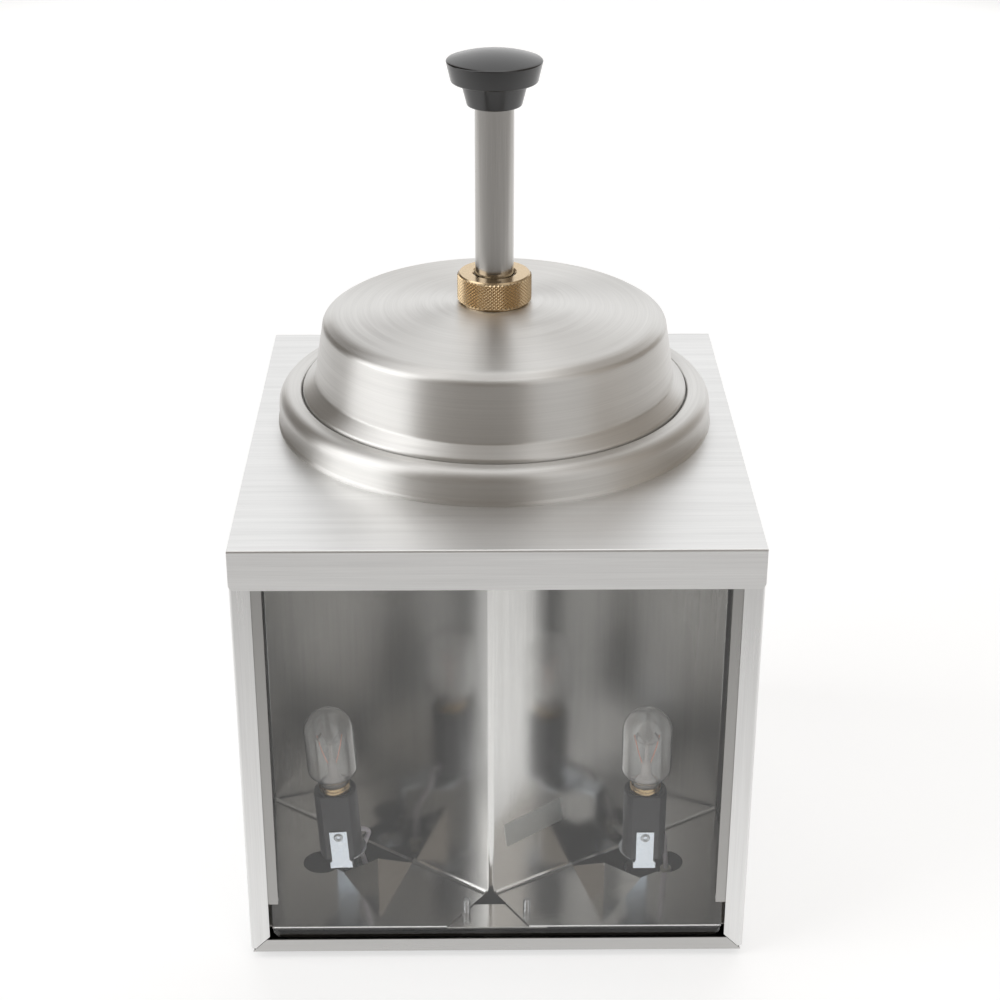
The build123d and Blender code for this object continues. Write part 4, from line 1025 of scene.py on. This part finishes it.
def build_world():
    """A pale sweep behind, a softbox each side, a soft ceiling and a dim warm room behind the camera."""
    ceiling_strength = 0.8
    world = bpy.data.worlds.new("studio")
    bpy.context.scene.world = world
    world.use_nodes = True
    tree = world.node_tree

    def add(kind, first, second=None, **values):
        made = tree.nodes.new(kind)
        for key, value in values.items():
            setattr(made, key, value)
        for socket, source in zip(made.inputs, (first, second)):
            if isinstance(source, (int, float)):
                socket.default_value = source
            elif source is not None:
                tree.links.new(source, socket)
        return made

    def stepped(source, start, end):
        made = add("ShaderNodeMapRange", source, interpolation_type="SMOOTHSTEP")
        made.inputs["From Min"].default_value = start
        made.inputs["From Max"].default_value = end
        return made.outputs["Result"]

    place = tree.nodes.new("ShaderNodeTexCoord")
    x, y, z = add("ShaderNodeSeparateXYZ", place.outputs["Generated"]).outputs
    ahead = add("ShaderNodeMath", y, -1.0, operation="MULTIPLY").outputs[0]
    turn = add("ShaderNodeMath", x, ahead, operation="ARCTAN2").outputs[0]
    part = add("ShaderNodeMath", turn, 1 / TURN, operation="MULTIPLY").outputs[0]
    part = add("ShaderNodeMath", part, 0.5, operation="ADD").outputs[0]
    ramp = add("ShaderNodeValToRGB", part)
    ramp.color_ramp.interpolation = "EASE"
    stops = ramp.color_ramp.elements
    while len(stops) > 1:
        stops.remove(stops[0])
    for k, (angle, strength) in enumerate(HORIZON):
        stop = stops[0] if k == 0 else stops.new((angle + 180) / 360)
        stop.position = (angle + 180) / 360
        stop.color = (strength, strength, strength, 1)
    ceiling = stepped(z, 0.93, 0.99)
    strength = tree.nodes.new("ShaderNodeMix")
    tree.links.new(ceiling, strength.inputs["Factor"])
    tree.links.new(ramp.outputs["Color"], strength.inputs["A"])
    strength.inputs["B"].default_value = ceiling_strength
    warmth = tree.nodes.new("ShaderNodeMix")
    warmth.data_type = "RGBA"
    tree.links.new(stepped(strength.outputs["Result"], 0.25, 0.9), warmth.inputs["Factor"])
    room, white = [socket for socket in warmth.inputs if socket.type == "RGBA"]
    room.default_value = (1.0, 0.88, 0.75, 1)
    white.default_value = (1, 1, 1, 1)
    tint = next(socket for socket in warmth.outputs if socket.type == "RGBA")
    background = tree.nodes["Background"]
    tree.links.new(tint, background.inputs["Color"])
    tree.links.new(strength.outputs["Result"], background.inputs["Strength"])
    # seen directly, the room is a plain pale backdrop
    backdrop = tree.nodes.new("ShaderNodeBackground")
    shown = tree.nodes.new("ShaderNodeMixShader")
    path = tree.nodes.new("ShaderNodeLightPath")
    tree.links.new(path.outputs["Is Camera Ray"], shown.inputs["Fac"])
    tree.links.new(background.outputs["Background"], shown.inputs[1])
    tree.links.new(backdrop.outputs["Background"], shown.inputs[2])
    tree.links.new(shown.outputs["Shader"], tree.nodes["World Output"].inputs["Surface"])
    backdrop.inputs["Color"].default_value = (1, 1, 1, 1)


def build_light():
    """The room's light and a weak soft light overhead."""
    build_world()
    area_light("overhead", (0, 0.3, 1.9), (0, 0.1, 0), width=1.2, height=0.9, power=2)


def build_camera():
    """The camera in front of the object, looking down on it by 26 degrees."""
    camera = bpy.data.cameras.new("camera")
    camera.sensor_width = 36.0
    camera.lens = 74.5
    camera.clip_start = 0.01
    camera.clip_end = 50.0
    made = bpy.data.objects.new("camera", camera)
    made.location = (-0.0097, -1.016, 0.6837)
    down, across, roll = math.radians(26.05), math.radians(0.72), math.radians(0.10)
    aimed = Matrix.Rotation(-across, 4, "Z") @ Matrix.Rotation(math.pi / 2 - down, 4, "X")
    made.rotation_euler = (aimed @ Matrix.Rotation(roll, 4, "Z")).to_euler()
    bpy.context.scene.collection.objects.link(made)
    bpy.context.scene.camera = made


build_camera()
build_stage()
build_light()
dress_nodes()
build_knob()
build_lock_nut()
build_stem()
build_spring()
build_lid()
build_well()
build_lamps()
build_folds()
build_floor_screws()
bpy.context.scene.view_settings.view_transform = "Standard"

bpy.context.view_layer.update()
